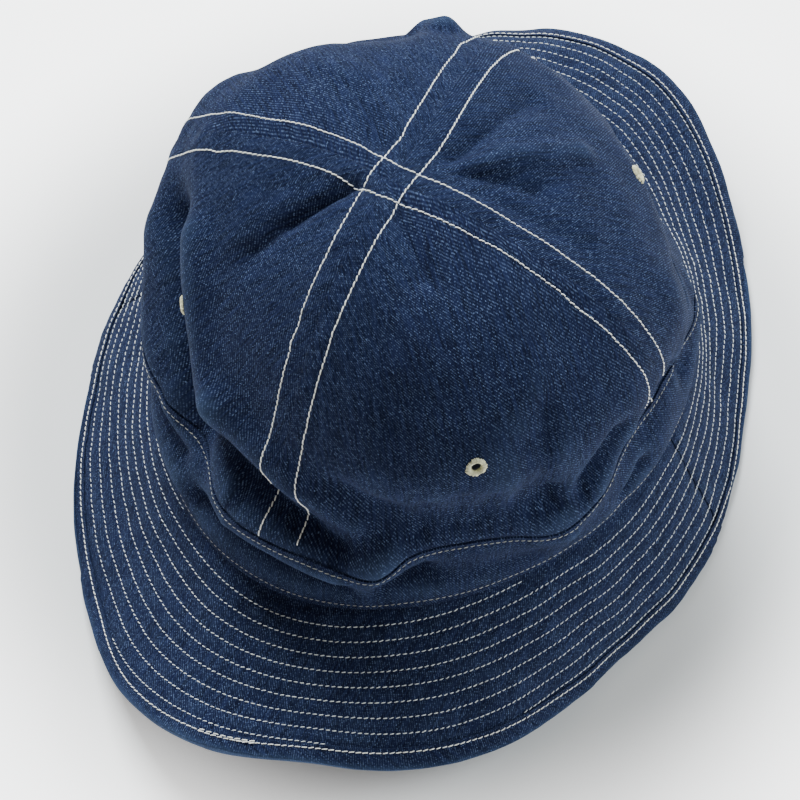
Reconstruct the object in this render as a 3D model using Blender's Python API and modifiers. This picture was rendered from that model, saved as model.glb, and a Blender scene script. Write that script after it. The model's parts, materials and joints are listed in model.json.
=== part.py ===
"""Soft denim field hat, built the way it is sewn.

Four crown gores meet at the top and stand on a side band. The brim is two halves joined at
the sides, with a bound edge. One stitched eyelet sits in each gore. Every piece is a cloth
wall of its real thickness. The hat rests on the edge of its brim: the sides droop to the
floor, and the front and back of the brim lift clear of it.

Bearings are in degrees round the hat, seen from above: 0 is its right side (+X), 90 its
back (+Y), 270 its front. A climb is 0 at the head seam and 1 at the top of the crown.
"""

import math
from collections import namedtuple

import bmesh
import bpy
from mathutils import Vector

# Driving sizes in metres
HEAD_WIDTH = 0.172
HEAD_LENGTH = 0.206
CROWN_HEIGHT = 0.110
BAND_HEIGHT = 0.030
BRIM_WIDTH = 0.056
CLOTH = 0.0013
BRIM_THICKNESS = 0.0020
BINDING_CLOTH = 0.0010
BINDING_WIDTH = 0.0085
EYELET_WIDTH = 0.0088
EYELET_HOLE = 0.0032
EYELET_THREAD = 0.0009
SEAM_GAP = 0.0004
BINDING_GAP = 0.0005
EYELET_GAP = 0.0004
FLOOR_PRESS = 0.0030
BINDING_PRESS = 0.0003

# The crown's top leans from the middle of the head seam, as shares of its width and length
TOP_SHIFT_ACROSS = -0.052
TOP_SHIFT_ALONG = -0.066

# Where the brim halves meet, at the two sides
SIDE_SEAMS = (8.0, 188.0)

# Mesh steps
GORE_COLUMNS = 19
GORE_ROWS = 17
BAND_COLUMNS = 4 * GORE_COLUMNS
BAND_ROWS = 3
BRIM_HALF_COLUMNS = 36
BRIM_ROWS = 7
BINDING_COLUMNS = 2 * BRIM_HALF_COLUMNS
EYELET_SIDES = 14

BrimSection = namedtuple("BrimSection", "bearing rise width droop_at_seam droop_at_edge")
CrownSection = namedtuple("CrownSection", "bearing roundness bulge waist lean")
Fold = namedtuple("Fold", "name from_bearing from_climb to_bearing to_climb half_width depth")
Gore = namedtuple("Gore", "place right_bearing left_bearing")
Finish = namedtuple("Finish", "name colour roughness metallic")

# The brim at twelve bearings. Rise is the head seam's height over its mean level, and width
# the cloth from seam to edge, both as shares of BRIM_WIDTH. Droop is the slope below level,
# in degrees, beside the head seam and at the edge.
BRIM_SECTIONS = (
    BrimSection(0, -0.05, 0.85, 58, 66),
    BrimSection(30, -0.14, 0.89, 78, 50),
    BrimSection(60, -0.12, 0.98, 70, 28),
    BrimSection(90, 0.03, 1.10, 25, 17),
    BrimSection(120, 0.21, 1.12, 16, 46),
    BrimSection(150, 0.26, 1.14, 33, 72),
    BrimSection(180, 0.15, 1.12, 46, 58),
    BrimSection(210, -0.05, 1.06, 64, 45),
    BrimSection(240, -0.16, 0.99, 58, 30),
    BrimSection(270, -0.13, 0.98, 27, 6),
    BrimSection(300, -0.03, 0.90, 25, 24),
    BrimSection(330, 0.01, 0.87, 46, 66),
)

# The crown at twelve bearings. Roundness is the exponent of its profile: 2 is an ellipse,
# more is squarer. Bulge pushes the side out and waist pushes the wall just above the band,
# both as shares of the wall's reach from the top's axis. Lean turns the wall round the hat
# between the head seam and the top, in degrees.
CROWN_SECTIONS = (
    CrownSection(0, 1.94, 0.15, -0.06, 1),
    CrownSection(30, 1.85, 0.06, -0.05, 4),
    CrownSection(60, 1.92, 0.01, -0.08, 9),
    CrownSection(90, 2.04, 0.05, -0.11, 15),
    CrownSection(120, 1.98, 0.16, -0.12, 18),
    CrownSection(150, 2.04, 0.29, -0.08, 14),
    CrownSection(180, 2.02, 0.31, -0.01, 5),
    CrownSection(210, 1.90, 0.19, 0.02, -3),
    CrownSection(240, 1.86, 0.01, 0.02, -6),
    CrownSection(270, 2.22, -0.07, -0.03, -4),
    CrownSection(300, 2.38, 0.06, -0.11, -1),
    CrownSection(330, 2.22, 0.17, -0.10, 1),
)
WAIST_CLIMB = 0.20
WAIST_SPREAD = 0.12
DOME_ROUNDNESS = 0.8
DOME_ARC = 0.85

# Folds and dents of the crown and band. Each runs from one bearing and climb to another.
# Half width and depth are shares of CROWN_HEIGHT; a positive depth stands out.
FOLDS = (
    Fold("groove beside the top", 218, 0.88, 226, 0.70, 0.060, -0.030),
    Fold("deep valley at the left", 209, 0.45, 236, 0.27, 0.085, -0.072),
    Fold("roll left of the valley", 207, 0.30, 222, 0.19, 0.080, 0.014),
    Fold("shoulder right of the valley", 231, 0.41, 252, 0.29, 0.090, 0.034),
    Fold("crease under the valley", 233, 0.18, 243, 0.21, 0.062, -0.085),
    Fold("belly of the band at the left", 222, 0.06, 238, 0.07, 0.060, 0.024),
    Fold("fold across the front seam", 248, 0.25, 286, 0.15, 0.055, -0.045),
    Fold("crest over that fold", 252, 0.32, 284, 0.24, 0.060, 0.028),
    Fold("roll over the front seam", 260, 0.18, 295, 0.12, 0.066, 0.078),
    Fold("hollow of the band in front", 252, 0.03, 290, 0.02, 0.042, -0.030),
    Fold("pocket beside the front kink", 299, 0.05, 304, 0.06, 0.045, -0.026),
    Fold("hollow of the band at the right front", 308, 0.07, 326, 0.06, 0.060, -0.018),
    Fold("fullness of the front right gore", 298, 0.40, 322, 0.40, 0.160, 0.018),
    Fold("pleat at the right front", 331, 0.48, 325, 0.22, 0.055, -0.014),
    Fold("roll at the right front", 328, 0.145, 342, 0.165, 0.060, 0.060),
    Fold("pocket over that roll", 346, 0.30, 336, 0.22, 0.045, -0.030),
    Fold("pocket of the band at the right", 350, 0.045, 355, 0.08, 0.045, -0.034),
    Fold("hollow at the right seam", 352, 0.19, 368, 0.19, 0.055, -0.036),
    Fold("pocket at the right seam", 2, 0.24, 16, 0.14, 0.055, -0.035),
    Fold("roll behind the right seam", 18, 0.36, 24, 0.14, 0.095, 0.034),
    Fold("slit at the right back", 28, 0.24, 35, 0.28, 0.045, -0.020),
    Fold("ridge to the right back", 44, 0.86, 55, 0.54, 0.090, 0.014),
    Fold("hollow beside that ridge", 72, 0.74, 66, 0.50, 0.110, -0.014),
    Fold("sag of the back", 104, 0.34, 128, 0.24, 0.110, -0.026),
    Fold("flat of the back", 116, 0.44, 144, 0.44, 0.120, -0.044),
    Fold("fold at the left back", 150, 0.36, 162, 0.14, 0.090, -0.032),
    Fold("fullness of the left back", 172, 0.56, 152, 0.62, 0.220, 0.034),
    Fold("edge of the left back", 158, 0.44, 188, 0.34, 0.085, 0.016),
    Fold("dent of the front right gore", 334, 0.44, 346, 0.56, 0.110, -0.014),
)

# Colour, roughness and metallic value of each finish
DENIM = Finish("denim", (0.020, 0.055, 0.130, 1.0), 0.9, 0.0)
BRIM_DENIM = Finish("brim_denim", (0.018, 0.048, 0.115, 1.0), 0.9, 0.0)
BINDING_DENIM = Finish("binding_denim", (0.015, 0.040, 0.100, 1.0), 0.9, 0.0)
THREAD = Finish("thread", (0.80, 0.76, 0.66, 1.0), 0.8, 0.0)

GORES = (
    Gore("back_right", 0, 90),
    Gore("back_left", 90, 180),
    Gore("front_left", 180, 270),
    Gore("front_right", 270, 360),
)
EYELET_CLIMB = 0.414
EYELET_ROW = 4

# How far from a gore's point its cloth starts
TIP_RADIUS = 0.0006

# Climbs over which the folds fade out at the head seam and at the top
FADE_AT_SEAM = 0.05
FADE_AT_TOP = 0.06

# Steps for slopes and bends: degrees round the hat, climbs, and metres of cloth
SMALL_TURN = 0.2
SMALL_CLIMB = 0.004
SMALL_LENGTH = 0.0004
BEND_CLIMB = 0.05
BEND_LENGTH = 0.002
DROOP_STEPS = 12
WELD = 0.000001


def round_table(table, column, bearing):
    """Read one column of a table at any bearing, on a smooth closed curve."""
    count = len(table)
    place = (bearing % 360) / 360 * count
    row = int(place)
    share = place - row
    before, here, after, beyond = (
        getattr(table[(row + step) % count], column) for step in (-1, 0, 1, 2))
    slope_here = (after - before) / 2
    slope_after = (beyond - here) / 2
    cubed, squared = share**3, share**2
    return (
        here * (2 * cubed - 3 * squared + 1)
        + slope_here * (cubed - 2 * squared + share)
        + after * (3 * squared - 2 * cubed)
        + slope_after * (cubed - squared)
    )


def head_seam(bearing):
    """Point of the seam between brim and band."""
    turn = math.radians(bearing)
    rise = round_table(BRIM_SECTIONS, "rise", bearing) * BRIM_WIDTH
    return Vector((HEAD_WIDTH / 2 * math.cos(turn), HEAD_LENGTH / 2 * math.sin(turn), rise))


def outward(bearing):
    """Level direction square to the head seam, away from the head."""
    turn = math.radians(bearing)
    return Vector((math.cos(turn) / HEAD_WIDTH, math.sin(turn) / HEAD_LENGTH, 0)).normalized()


def brim_width(bearing):
    """Cloth from head seam to edge at this bearing."""
    return round_table(BRIM_SECTIONS, "width", bearing) * BRIM_WIDTH


def hanging_point(bearing, out):
    """Point of the brim's middle layer, out along the cloth, before the floor lifts it."""
    droop_seam = round_table(BRIM_SECTIONS, "droop_at_seam", bearing)
    droop_edge = round_table(BRIM_SECTIONS, "droop_at_edge", bearing)
    width = brim_width(bearing)
    level = fall = 0.0
    for step in range(DROOP_STEPS):
        share = out * (step + 0.5) / DROOP_STEPS / width
        droop = math.radians(droop_seam + (droop_edge - droop_seam) * share)
        level += math.cos(droop) * out / DROOP_STEPS
        fall += math.sin(droop) * out / DROOP_STEPS
    return head_seam(bearing) + outward(bearing) * level - Vector((0, 0, fall))


def brim_floor():
    """Level that the floor presses the drooping edge up to."""
    return min(hanging_point(turn, brim_width(turn)).z for turn in range(360)) + FLOOR_PRESS


FLOOR = brim_floor()


def brim_point(bearing, out):
    """Point of the brim's middle layer, out along the cloth from the head seam."""
    point = hanging_point(bearing, out)
    width = brim_width(bearing)
    lift = max(0.0, FLOOR - hanging_point(bearing, width).z)
    return point + Vector((0, 0, lift * (out / width) ** 2))


def brim_axes(bearing, out):
    """Unit directions on the brim: outward along the cloth, and up off its top face."""
    here = brim_point(bearing, out)
    along = brim_point(bearing + SMALL_TURN, out) - here
    run = (here - brim_point(bearing, out - SMALL_LENGTH)).normalized()
    return run, run.cross(along).normalized()


def smooth_crown_point(bearing, climb):
    """Point of the crown's wall without its folds."""
    roundness, bulge, waist, lean = (
        round_table(CROWN_SECTIONS, column, bearing) for column in CrownSection._fields[1:])
    arch = math.sin(math.pi * climb)
    waist_share = math.exp(-((climb - WAIST_CLIMB) / WAIST_SPREAD) ** 2)
    turn = climb * math.pi / 2
    reach = max(0.0, math.cos(turn)) ** (2 / roundness) * (1 + bulge * arch + waist * waist_share)
    share = math.sin(turn) ** (2 / roundness)
    foot = head_seam(bearing + lean * arch)
    top = Vector((TOP_SHIFT_ACROSS * HEAD_WIDTH, TOP_SHIFT_ALONG * HEAD_LENGTH, 0))
    level = top + (Vector((foot.x, foot.y, 0)) - top) * reach
    return level + Vector((0, 0, foot.z + (CROWN_HEIGHT - foot.z) * share))


def crown_normal(bearing, climb):
    """Outward direction square to the unfolded crown."""
    climb = min(climb, 1 - 2 * SMALL_CLIMB)
    here = smooth_crown_point(bearing, climb)
    along = smooth_crown_point(bearing + SMALL_TURN, climb) - here
    up = smooth_crown_point(bearing, climb + SMALL_CLIMB) - here
    return along.cross(up).normalized()


def turn_between(bearing, other):
    """Signed turn from other to bearing, from -180 to 180 degrees."""
    return (bearing - other + 180) % 360 - 180


def fold_depth(bearing, climb):
    """How far all the folds together push the crown's wall out."""
    # Folds are measured on a dome: its radius here, and the cloth from its foot to its top
    radius = (HEAD_WIDTH + HEAD_LENGTH) / 4
    reach = radius * math.cos(climb * math.pi / 2) ** DOME_ROUNDNESS
    arc = (radius + CROWN_HEIGHT) * DOME_ARC
    depth = 0.0
    for fold in FOLDS:
        ahead = turn_between(fold.from_bearing, bearing)
        turned = fold.to_bearing - fold.from_bearing
        start = Vector((math.radians(ahead) * reach, (fold.from_climb - climb) * arc))
        run = Vector((math.radians(turned) * reach, (fold.to_climb - fold.from_climb) * arc))
        along = max(0.0, min(1.0, -start.dot(run) / run.length_squared))
        distance = (start + run * along).length / (fold.half_width * CROWN_HEIGHT)
        depth += fold.depth * CROWN_HEIGHT * math.exp(-distance**2)
    return depth


def crown_point(bearing, climb):
    """Point of the crown's wall with its folds."""
    fade = min(1.0, climb / FADE_AT_SEAM) * min(1.0, (1 - climb) / FADE_AT_TOP)
    push = crown_normal(bearing, climb) * fold_depth(bearing, climb) * fade
    return smooth_crown_point(bearing, climb) + push


def band_climb(bearing):
    """Climb of the seam between band and gores."""
    share = BAND_HEIGHT / (CROWN_HEIGHT - head_seam(bearing).z)
    roundness = round_table(CROWN_SECTIONS, "roundness", bearing)
    return math.asin(share ** (roundness / 2)) * 2 / math.pi


def setback(above, corner, below):
    """How far two walls stay back from a seam so that their inner corners clear each other."""
    up = (above - corner).normalized()
    down = (below - corner).normalized()
    half_bend = (math.pi - up.angle(down)) / 2
    half_wall = max(CLOTH, BRIM_THICKNESS) / 2
    return (SEAM_GAP / 2 + half_wall * math.sin(half_bend)) / math.cos(half_bend)


def climb_at(bearing, start, length, direction):
    """Climb that lies this length up or down the wall from a starting climb."""
    slope = (crown_point(bearing, start + direction * SMALL_CLIMB)
             - crown_point(bearing, start)).length / SMALL_CLIMB
    return start + direction * length / slope


def seam_turn(bearing, climb):
    """Turn that keeps a gore's edge half a gap from its seam."""
    arc = (crown_point(bearing + SMALL_TURN, climb) - crown_point(bearing, climb)).length
    return SMALL_TURN * SEAM_GAP / 2 / max(arc, WELD)


def new_object(name, mesh, finish, collection):
    """Add an object with its own material to the collection."""
    thing = bpy.data.objects.new(name, mesh)
    collection.objects.link(thing)
    material = bpy.data.materials.get(finish.name) or bpy.data.materials.new(finish.name)
    material.use_nodes = True
    shader = material.node_tree.nodes["Principled BSDF"]
    shader.inputs["Base Color"].default_value = finish.colour
    shader.inputs["Roughness"].default_value = finish.roughness
    shader.inputs["Metallic"].default_value = finish.metallic
    thing.data.materials.append(material)
    thing.data.shade_smooth()
    return thing


def loft(name, section, count, closed_round, closed_section=False):
    """Join sections with faces, each split along the diagonal that lies nearer the true wall.

    The section function gives the points of a section at a place from 0 to count, and also
    half way between two places. The sections may close round the hat, and each section too.
    """
    shape = bmesh.new()
    rows = range(count if closed_round else count + 1)
    grid = [[shape.verts.new(point) for point in section(place)] for place in rows]
    for place in range(count):
        between = section(place + 0.5)
        here, beyond = grid[place], grid[(place + 1) % len(grid)]
        for low in range(len(between) if closed_section else len(between) - 1):
            high = (low + 1) % len(between)
            middle = (between[low] + between[high]) / 2
            cell = (here[low], beyond[low], beyond[high], here[high])
            first = ((cell[0].co + cell[2].co) / 2 - middle).length
            second = ((cell[1].co + cell[3].co) / 2 - middle).length
            if second < first:
                cell = cell[1:] + cell[:1]
            shape.faces.new(cell[:3])
            shape.faces.new((cell[2], cell[3], cell[0]))
    bmesh.ops.remove_doubles(shape, verts=shape.verts, dist=WELD)
    mesh = bpy.data.meshes.new(name)
    shape.to_mesh(mesh)
    shape.free()
    return mesh


def add_wall(thing, thickness):
    """Give an open cloth surface its thickness, half to each side."""
    wall = thing.modifiers.new("cloth", "SOLIDIFY")
    wall.thickness = thickness
    wall.offset = 0.0
    wall.use_even_offset = False


def gore_foot(bearing):
    """Climb of a gore's lower edge, just above the band seam."""
    seam = band_climb(bearing)
    back = setback(crown_point(bearing, seam + BEND_CLIMB), crown_point(bearing, seam),
                   crown_point(bearing, seam - BEND_CLIMB))
    return climb_at(bearing, seam, back, 1)


def gore_column(gore, across):
    """Points up a gore, from its foot on the band to its tip, at a share of its width."""
    bearing = gore.right_bearing + (gore.left_bearing - gore.right_bearing) * across
    foot = gore_foot(bearing)
    eyelet = EYELET_ROW + 0.5
    points = []
    for row in range(GORE_ROWS):
        if row < eyelet:
            climb = foot + (EYELET_CLIMB - foot) * row / eyelet
        else:
            climb = EYELET_CLIMB + (1 - EYELET_CLIMB) * (row - eyelet) / (GORE_ROWS - eyelet)
        clear = bearing + seam_turn(bearing, climb) * (1 - 2 * across)
        points.append(crown_point(clear, climb))
    middle = (gore.right_bearing + gore.left_bearing) / 2
    top = crown_point(middle, 1.0)
    points.append(top + (crown_point(middle, climb) - top).normalized() * TIP_RADIUS)
    return points


def make_gore(gore, collection):
    """One quarter of the crown."""
    name = "crown_gore_" + gore.place
    mesh = loft(name, lambda place: gore_column(gore, place / GORE_COLUMNS), GORE_COLUMNS,
                closed_round=False)
    panel = new_object(name, mesh, DENIM, collection)
    add_wall(panel, CLOTH)
    return panel


def band_column(bearing):
    """Points up the side band, clear of the brim below it and of the gores above."""
    above = crown_point(bearing, BEND_CLIMB)
    foot_back = setback(above, head_seam(bearing), brim_point(bearing, BEND_LENGTH))
    foot = climb_at(bearing, 0, foot_back, 1)
    seam = band_climb(bearing)
    head_back = setback(crown_point(bearing, seam + BEND_CLIMB), crown_point(bearing, seam),
                        crown_point(bearing, seam - BEND_CLIMB))
    head = climb_at(bearing, seam, head_back, -1)
    return [crown_point(bearing, foot + (head - foot) * row / BAND_ROWS)
            for row in range(BAND_ROWS + 1)]


def make_band(collection):
    """The narrow side band between the brim and the gores."""
    mesh = loft("side_band", lambda place: band_column(360 * place / BAND_COLUMNS),
                BAND_COLUMNS, closed_round=True)
    band = new_object("side_band", mesh, DENIM, collection)
    add_wall(band, CLOTH)
    return band


def brim_row(start, end, across):
    """Points in from the brim's edge to the head seam, at a share of a half's length."""
    bearing = start + (end - start) * across
    arc = (brim_point(bearing + SMALL_TURN, 0) - brim_point(bearing, 0)).length
    bearing += SMALL_TURN * SEAM_GAP / 2 / arc * (1 - 2 * across)
    inner = setback(crown_point(bearing, BEND_CLIMB), head_seam(bearing),
                    brim_point(bearing, BEND_LENGTH))
    width = brim_width(bearing)
    bound = width - BINDING_WIDTH
    open_rows = BRIM_ROWS - 1
    outs = [width] + [bound + (inner - bound) * row / open_rows for row in range(open_rows + 1)]
    return [brim_point(bearing, out) for out in outs]


def make_brim_half(name, start, end, collection):
    """Half of the brim, from side seam to side seam."""
    mesh = loft(name, lambda place: brim_row(start, end, place / BRIM_HALF_COLUMNS),
                BRIM_HALF_COLUMNS, closed_round=False)
    half = new_object(name, mesh, BRIM_DENIM, collection)
    add_wall(half, BRIM_THICKNESS)
    return half


def binding_section(bearing):
    """Corner points of the folded strip round the brim's edge, at one bearing."""
    inside = BRIM_THICKNESS / 2 + BINDING_GAP
    outside = inside + BINDING_CLOTH
    nose = BINDING_GAP + BINDING_CLOTH
    width = brim_width(bearing)
    corners = (
        # (out beyond the cut edge, off the middle layer)
        (-BINDING_WIDTH, inside),
        (BINDING_GAP, inside),
        (BINDING_GAP, -inside),
        (-BINDING_WIDTH, -inside),
        (-BINDING_WIDTH, -outside),
        (BINDING_GAP, -outside),
        (nose, -inside / 2),
        (nose, inside / 2),
        (BINDING_GAP, outside),
        (-BINDING_WIDTH, outside),
    )
    points = []
    for beyond, off in corners:
        on_cloth = min(0.0, beyond)
        run, up = brim_axes(bearing, width + on_cloth)
        points.append(brim_point(bearing, width + on_cloth) + run * max(0.0, beyond) + up * off)
    return points


def make_binding(collection):
    """The strip folded over the brim's edge, flattened where it meets the floor."""
    def section(place):
        return binding_section(SIDE_SEAMS[0] + 360 * place / BINDING_COLUMNS)

    lowest = min(point.z for place in range(BINDING_COLUMNS) for point in section(place))
    sole = lowest + BINDING_PRESS

    def pressed_section(place):
        return [Vector((point.x, point.y, max(point.z, sole))) for point in section(place)]

    mesh = loft("brim_binding", pressed_section, BINDING_COLUMNS, closed_round=True,
                closed_section=True)
    return new_object("brim_binding", mesh, BINDING_DENIM, collection)


def eyelet_frame(gore):
    """Where a gore's eyelet sits, in the middle of its middle cell, and which way it faces."""
    cell = GORE_COLUMNS // 2
    right_low, right_high = gore_column(gore, cell / GORE_COLUMNS)[EYELET_ROW:EYELET_ROW + 2]
    left_low, left_high = gore_column(gore, (cell + 1) / GORE_COLUMNS)[EYELET_ROW:EYELET_ROW + 2]
    place = (right_low + right_high + left_low + left_high) / 4
    facing = (left_high - right_low).cross(right_high - left_low).normalized()
    return place, facing.to_track_quat("Z", "Y")


def make_eyelet(name, place, facing, collection):
    """A ring of buttonhole stitch: a rim on each face of the cloth and a throat between."""
    half_cloth = CLOTH / 2 + EYELET_GAP
    face = half_cloth + EYELET_THREAD
    hole = EYELET_HOLE / 2
    throat = hole + EYELET_THREAD
    rim = EYELET_WIDTH / 2
    profile = (
        # (radius, height), down the outside and back up the hole
        (hole + EYELET_THREAD / 2, face),
        (rim - EYELET_THREAD / 2, face),
        (rim, half_cloth + EYELET_THREAD / 2),
        (rim - EYELET_THREAD / 4, half_cloth),
        (throat, half_cloth),
        (throat, -half_cloth),
        (rim - EYELET_THREAD, -half_cloth),
        (rim - EYELET_THREAD, -half_cloth - EYELET_THREAD / 2),
        (hole, -half_cloth - EYELET_THREAD / 2),
        (hole, face - EYELET_THREAD / 2),
    )
    shape = bmesh.new()
    verts = [shape.verts.new((radius, 0, height)) for radius, height in profile]
    for number, vert in enumerate(verts):
        shape.edges.new((vert, verts[(number + 1) % len(verts)]))
    mesh = bpy.data.meshes.new(name)
    shape.to_mesh(mesh)
    shape.free()
    eyelet = new_object(name, mesh, THREAD, collection)
    turned = eyelet.modifiers.new("turned", "SCREW")
    turned.steps = turned.render_steps = EYELET_SIDES
    turned.use_merge_vertices = True
    turned.merge_threshold = WELD
    eyelet.location = place
    eyelet.rotation_mode = "QUATERNION"
    eyelet.rotation_quaternion = facing
    return eyelet


def cut_hole(gore, place, facing, cutters):
    """Cut the eyelet's hole through a gore."""
    shape = bmesh.new()
    radius = EYELET_HOLE / 2 + EYELET_THREAD + EYELET_GAP
    bmesh.ops.create_cone(shape, cap_ends=True, segments=EYELET_SIDES, radius1=radius,
                          radius2=radius, depth=EYELET_WIDTH)
    mesh = bpy.data.meshes.new(gore.name + "_hole")
    shape.to_mesh(mesh)
    shape.free()
    cutter = bpy.data.objects.new(mesh.name, mesh)
    cutters.objects.link(cutter)
    cutter.location = place
    cutter.rotation_mode = "QUATERNION"
    cutter.rotation_quaternion = facing
    cutter.hide_render = True
    cutter.display_type = "WIRE"
    cut = gore.modifiers.new("eyelet hole", "BOOLEAN")
    cut.operation = "DIFFERENCE"
    cut.object = cutter
    return cutter


def centre_on_floor(things, stand):
    """Parent everything to one empty, so that the hat stands on the origin, middle over it."""
    bpy.context.view_layer.update()
    graph = bpy.context.evaluated_depsgraph_get()
    points = []
    for thing in things:
        shown = thing.evaluated_get(graph)
        mesh = shown.to_mesh()
        points += [shown.matrix_world @ vert.co for vert in mesh.vertices]
        shown.to_mesh_clear()
    low = [min(point[axis] for point in points) for axis in range(3)]
    high = [max(point[axis] for point in points) for axis in range(3)]
    stand.location = (-(low[0] + high[0]) / 2, -(low[1] + high[1]) / 2, -low[2])


def new_collection(name):
    """Add an empty collection to the scene."""
    collection = bpy.data.collections.new(name)
    bpy.context.scene.collection.children.link(collection)
    return collection


def build_hat():
    """Build every piece of the hat."""
    for thing in list(bpy.data.objects):
        bpy.data.objects.remove(thing)
    hat = new_collection("army_hat")
    cutters = new_collection("army_hat_cutters")
    stand = bpy.data.objects.new("army_hat_stand", None)
    hat.objects.link(stand)
    pieces = [make_band(hat), make_binding(hat)]
    right, left = SIDE_SEAMS
    pieces.append(make_brim_half("brim_back", right, left, hat))
    pieces.append(make_brim_half("brim_front", left, right + 360, hat))
    tools = []
    for gore in GORES:
        panel = make_gore(gore, hat)
        place, facing = eyelet_frame(gore)
        tools.append(cut_hole(panel, place, facing, cutters))
        pieces.append(panel)
        pieces.append(make_eyelet("eyelet_" + gore.place, place, facing, hat))
    centre_on_floor(pieces, stand)
    for thing in pieces + tools:
        thing.parent = stand


build_hat()
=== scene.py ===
"""Looks of the soft denim field hat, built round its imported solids.

The cloth pieces repeat the hat's form from its named sizes and short tables, at the place of
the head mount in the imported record, and add what the solids leave out: the small folds, the
raised felled seams, the quilting of the brim, the denim and every stitch.

Bearings are in degrees round the hat, seen from above: 0 is its right side (+X), 90 its back
(+Y), 270 its front. A climb is 0 at the head seam and 1 at the top of the crown.
"""

import json
import logging
import math
from dataclasses import asdict, dataclass, field
from enum import Enum
from typing import Any, Callable, NamedTuple, Sequence

import bpy
import numpy as np
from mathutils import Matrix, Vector

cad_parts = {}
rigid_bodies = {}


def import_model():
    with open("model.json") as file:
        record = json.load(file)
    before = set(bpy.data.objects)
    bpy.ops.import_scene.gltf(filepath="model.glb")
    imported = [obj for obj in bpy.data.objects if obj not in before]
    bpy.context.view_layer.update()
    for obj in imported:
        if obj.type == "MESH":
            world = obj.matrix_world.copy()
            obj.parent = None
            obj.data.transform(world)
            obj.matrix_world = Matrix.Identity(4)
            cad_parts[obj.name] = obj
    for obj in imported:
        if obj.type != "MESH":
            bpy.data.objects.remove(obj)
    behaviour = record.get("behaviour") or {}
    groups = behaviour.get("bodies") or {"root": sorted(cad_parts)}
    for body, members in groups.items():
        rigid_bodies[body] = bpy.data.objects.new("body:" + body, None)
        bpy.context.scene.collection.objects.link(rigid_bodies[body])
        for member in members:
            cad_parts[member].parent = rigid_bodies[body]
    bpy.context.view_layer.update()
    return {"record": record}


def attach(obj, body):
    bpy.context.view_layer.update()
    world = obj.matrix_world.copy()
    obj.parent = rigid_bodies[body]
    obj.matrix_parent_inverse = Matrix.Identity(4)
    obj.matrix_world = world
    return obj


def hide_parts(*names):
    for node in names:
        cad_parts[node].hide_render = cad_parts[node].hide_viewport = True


LOG = logging.getLogger("field_hat")
Array = np.ndarray
Colour = tuple[float, float, float]

# Sizes in metres
HEAD_WIDTH = 0.172
HEAD_LENGTH = 0.206
CROWN_HEIGHT = 0.110
BAND_HEIGHT = 0.030
BRIM_WIDTH = 0.056
CLOTH = 0.0013
BRIM_THICKNESS = 0.0020
BINDING_CLOTH = 0.0006
BINDING_WIDTH = 0.0064
EYELET_HOLE = 0.0036
SEAM_GAP = 0.00006
SEAM_TUCK = 0.0030
SEAM_STEP = 0.0008
BINDING_GAP = 0.0001
BINDING_PRESS = 0.0003
FLOOR_PRESS = 0.0030
BRIM_TUCK = 0.0030
BRIM_SEAM_GAP = 0.0009
CURL_WIDTH = 0.014

# Metres of the brim's edge to one degree round the hat
BRIM_TURN_LENGTH = 0.0026

# Bearings, and widths of a bearing, in degrees
SIDE_SEAMS = (8.0, 188.0)
BINDING_JOIN = 272.5
BINDING_JOIN_SPREAD = 20
SEAM_TURN_SPREAD = 24.0
COURSE_SET_IN = 6
COURSE_FADE = 8

# Climbs, and widths of a climb
EYELET_CLIMB = 0.414
WAIST_CLIMB = 0.20
WAIST_SPREAD = 0.12
JOINING_CLIMB = 0.60
JOINING_GAP = 0.03
LAST_CLIMB = 0.9995
POLE_CLIMB = 0.9998
FADE_AT_SEAM = 0.05
FADE_AT_TOP = 0.06
SEAM_ROLL_ABOVE = 0.075
SEAM_ROLL_BELOW = 0.055

# Shares: the top's shift of the head's size, and of its width what the binding's join takes up
TOP_SHIFT_ACROSS = -0.052
TOP_SHIFT_ALONG = -0.066
BINDING_TAKE_UP = 0.28

# The dome on which the folds are measured: its exponent, and its arc as a share of its sizes
DOME_ROUNDNESS = 0.8
DOME_ARC = 0.85

# The fewest points of a row of stitches that is sewn, the least and most that a stitch leans
# as shares of its slant, and the seed of its shade
SHORTEST_ROW = 60
LEAN_RANGE = (0.2, 1.8)
SHADE_SEED = 7

# Degrees from which an edge stays sharp
CLOTH_SHARP = 60.0
STITCH_SHARP = 80.0

# How much cloth, thread and paper shine
SPECULAR = 0.04

# Steps for slopes and bends: degrees round the hat, climbs, and metres of cloth
SMALL_TURN = 0.1
SMALL_CLIMB = 0.002
SMALL_LENGTH = 0.0004
BEND_CLIMB = 0.05

# Straight up, and the bearings at which the band seam's shift is worked out
UPWARD = np.array([0.0, 0.0, 1.0])
FIX_TURNS = np.arange(0.0, 360.5, 0.5)

# The camera: degrees round and above the hat, metres from its aim, and the lens; near is
# where its view starts
CAMERA_AZIMUTH = 31.0995
CAMERA_ELEVATION = 57.8675
CAMERA_DISTANCE = 1.1
CAMERA_AIM = (0.00588435, -0.02047381, 0.04437314)
CAMERA_LENS = 144.5937
CAMERA_SENSOR = 36.0
CAMERA_NEAR = 0.01


class BrimSection(NamedTuple):
    """The brim at one bearing: rise and width as shares of BRIM_WIDTH, droops in degrees."""

    bearing: float
    rise: float
    width: float
    droop_at_seam: float
    droop_at_edge: float


class CrownSection(NamedTuple):
    """The crown at one bearing: profile exponent, shares of its reach, and lean in degrees."""

    bearing: float
    roundness: float
    bulge: float
    waist: float
    lean: float


class SeamPoint(NamedTuple):
    """Where the creased wall carries the band seam: out from the smooth wall, and down it."""

    bearing: float
    push: float
    slide: float


class EdgePoint(NamedTuple):
    """The brim's edge: how far it reaches past its smooth outline, and curls under."""

    bearing: float
    reach: float
    curl: float


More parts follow.
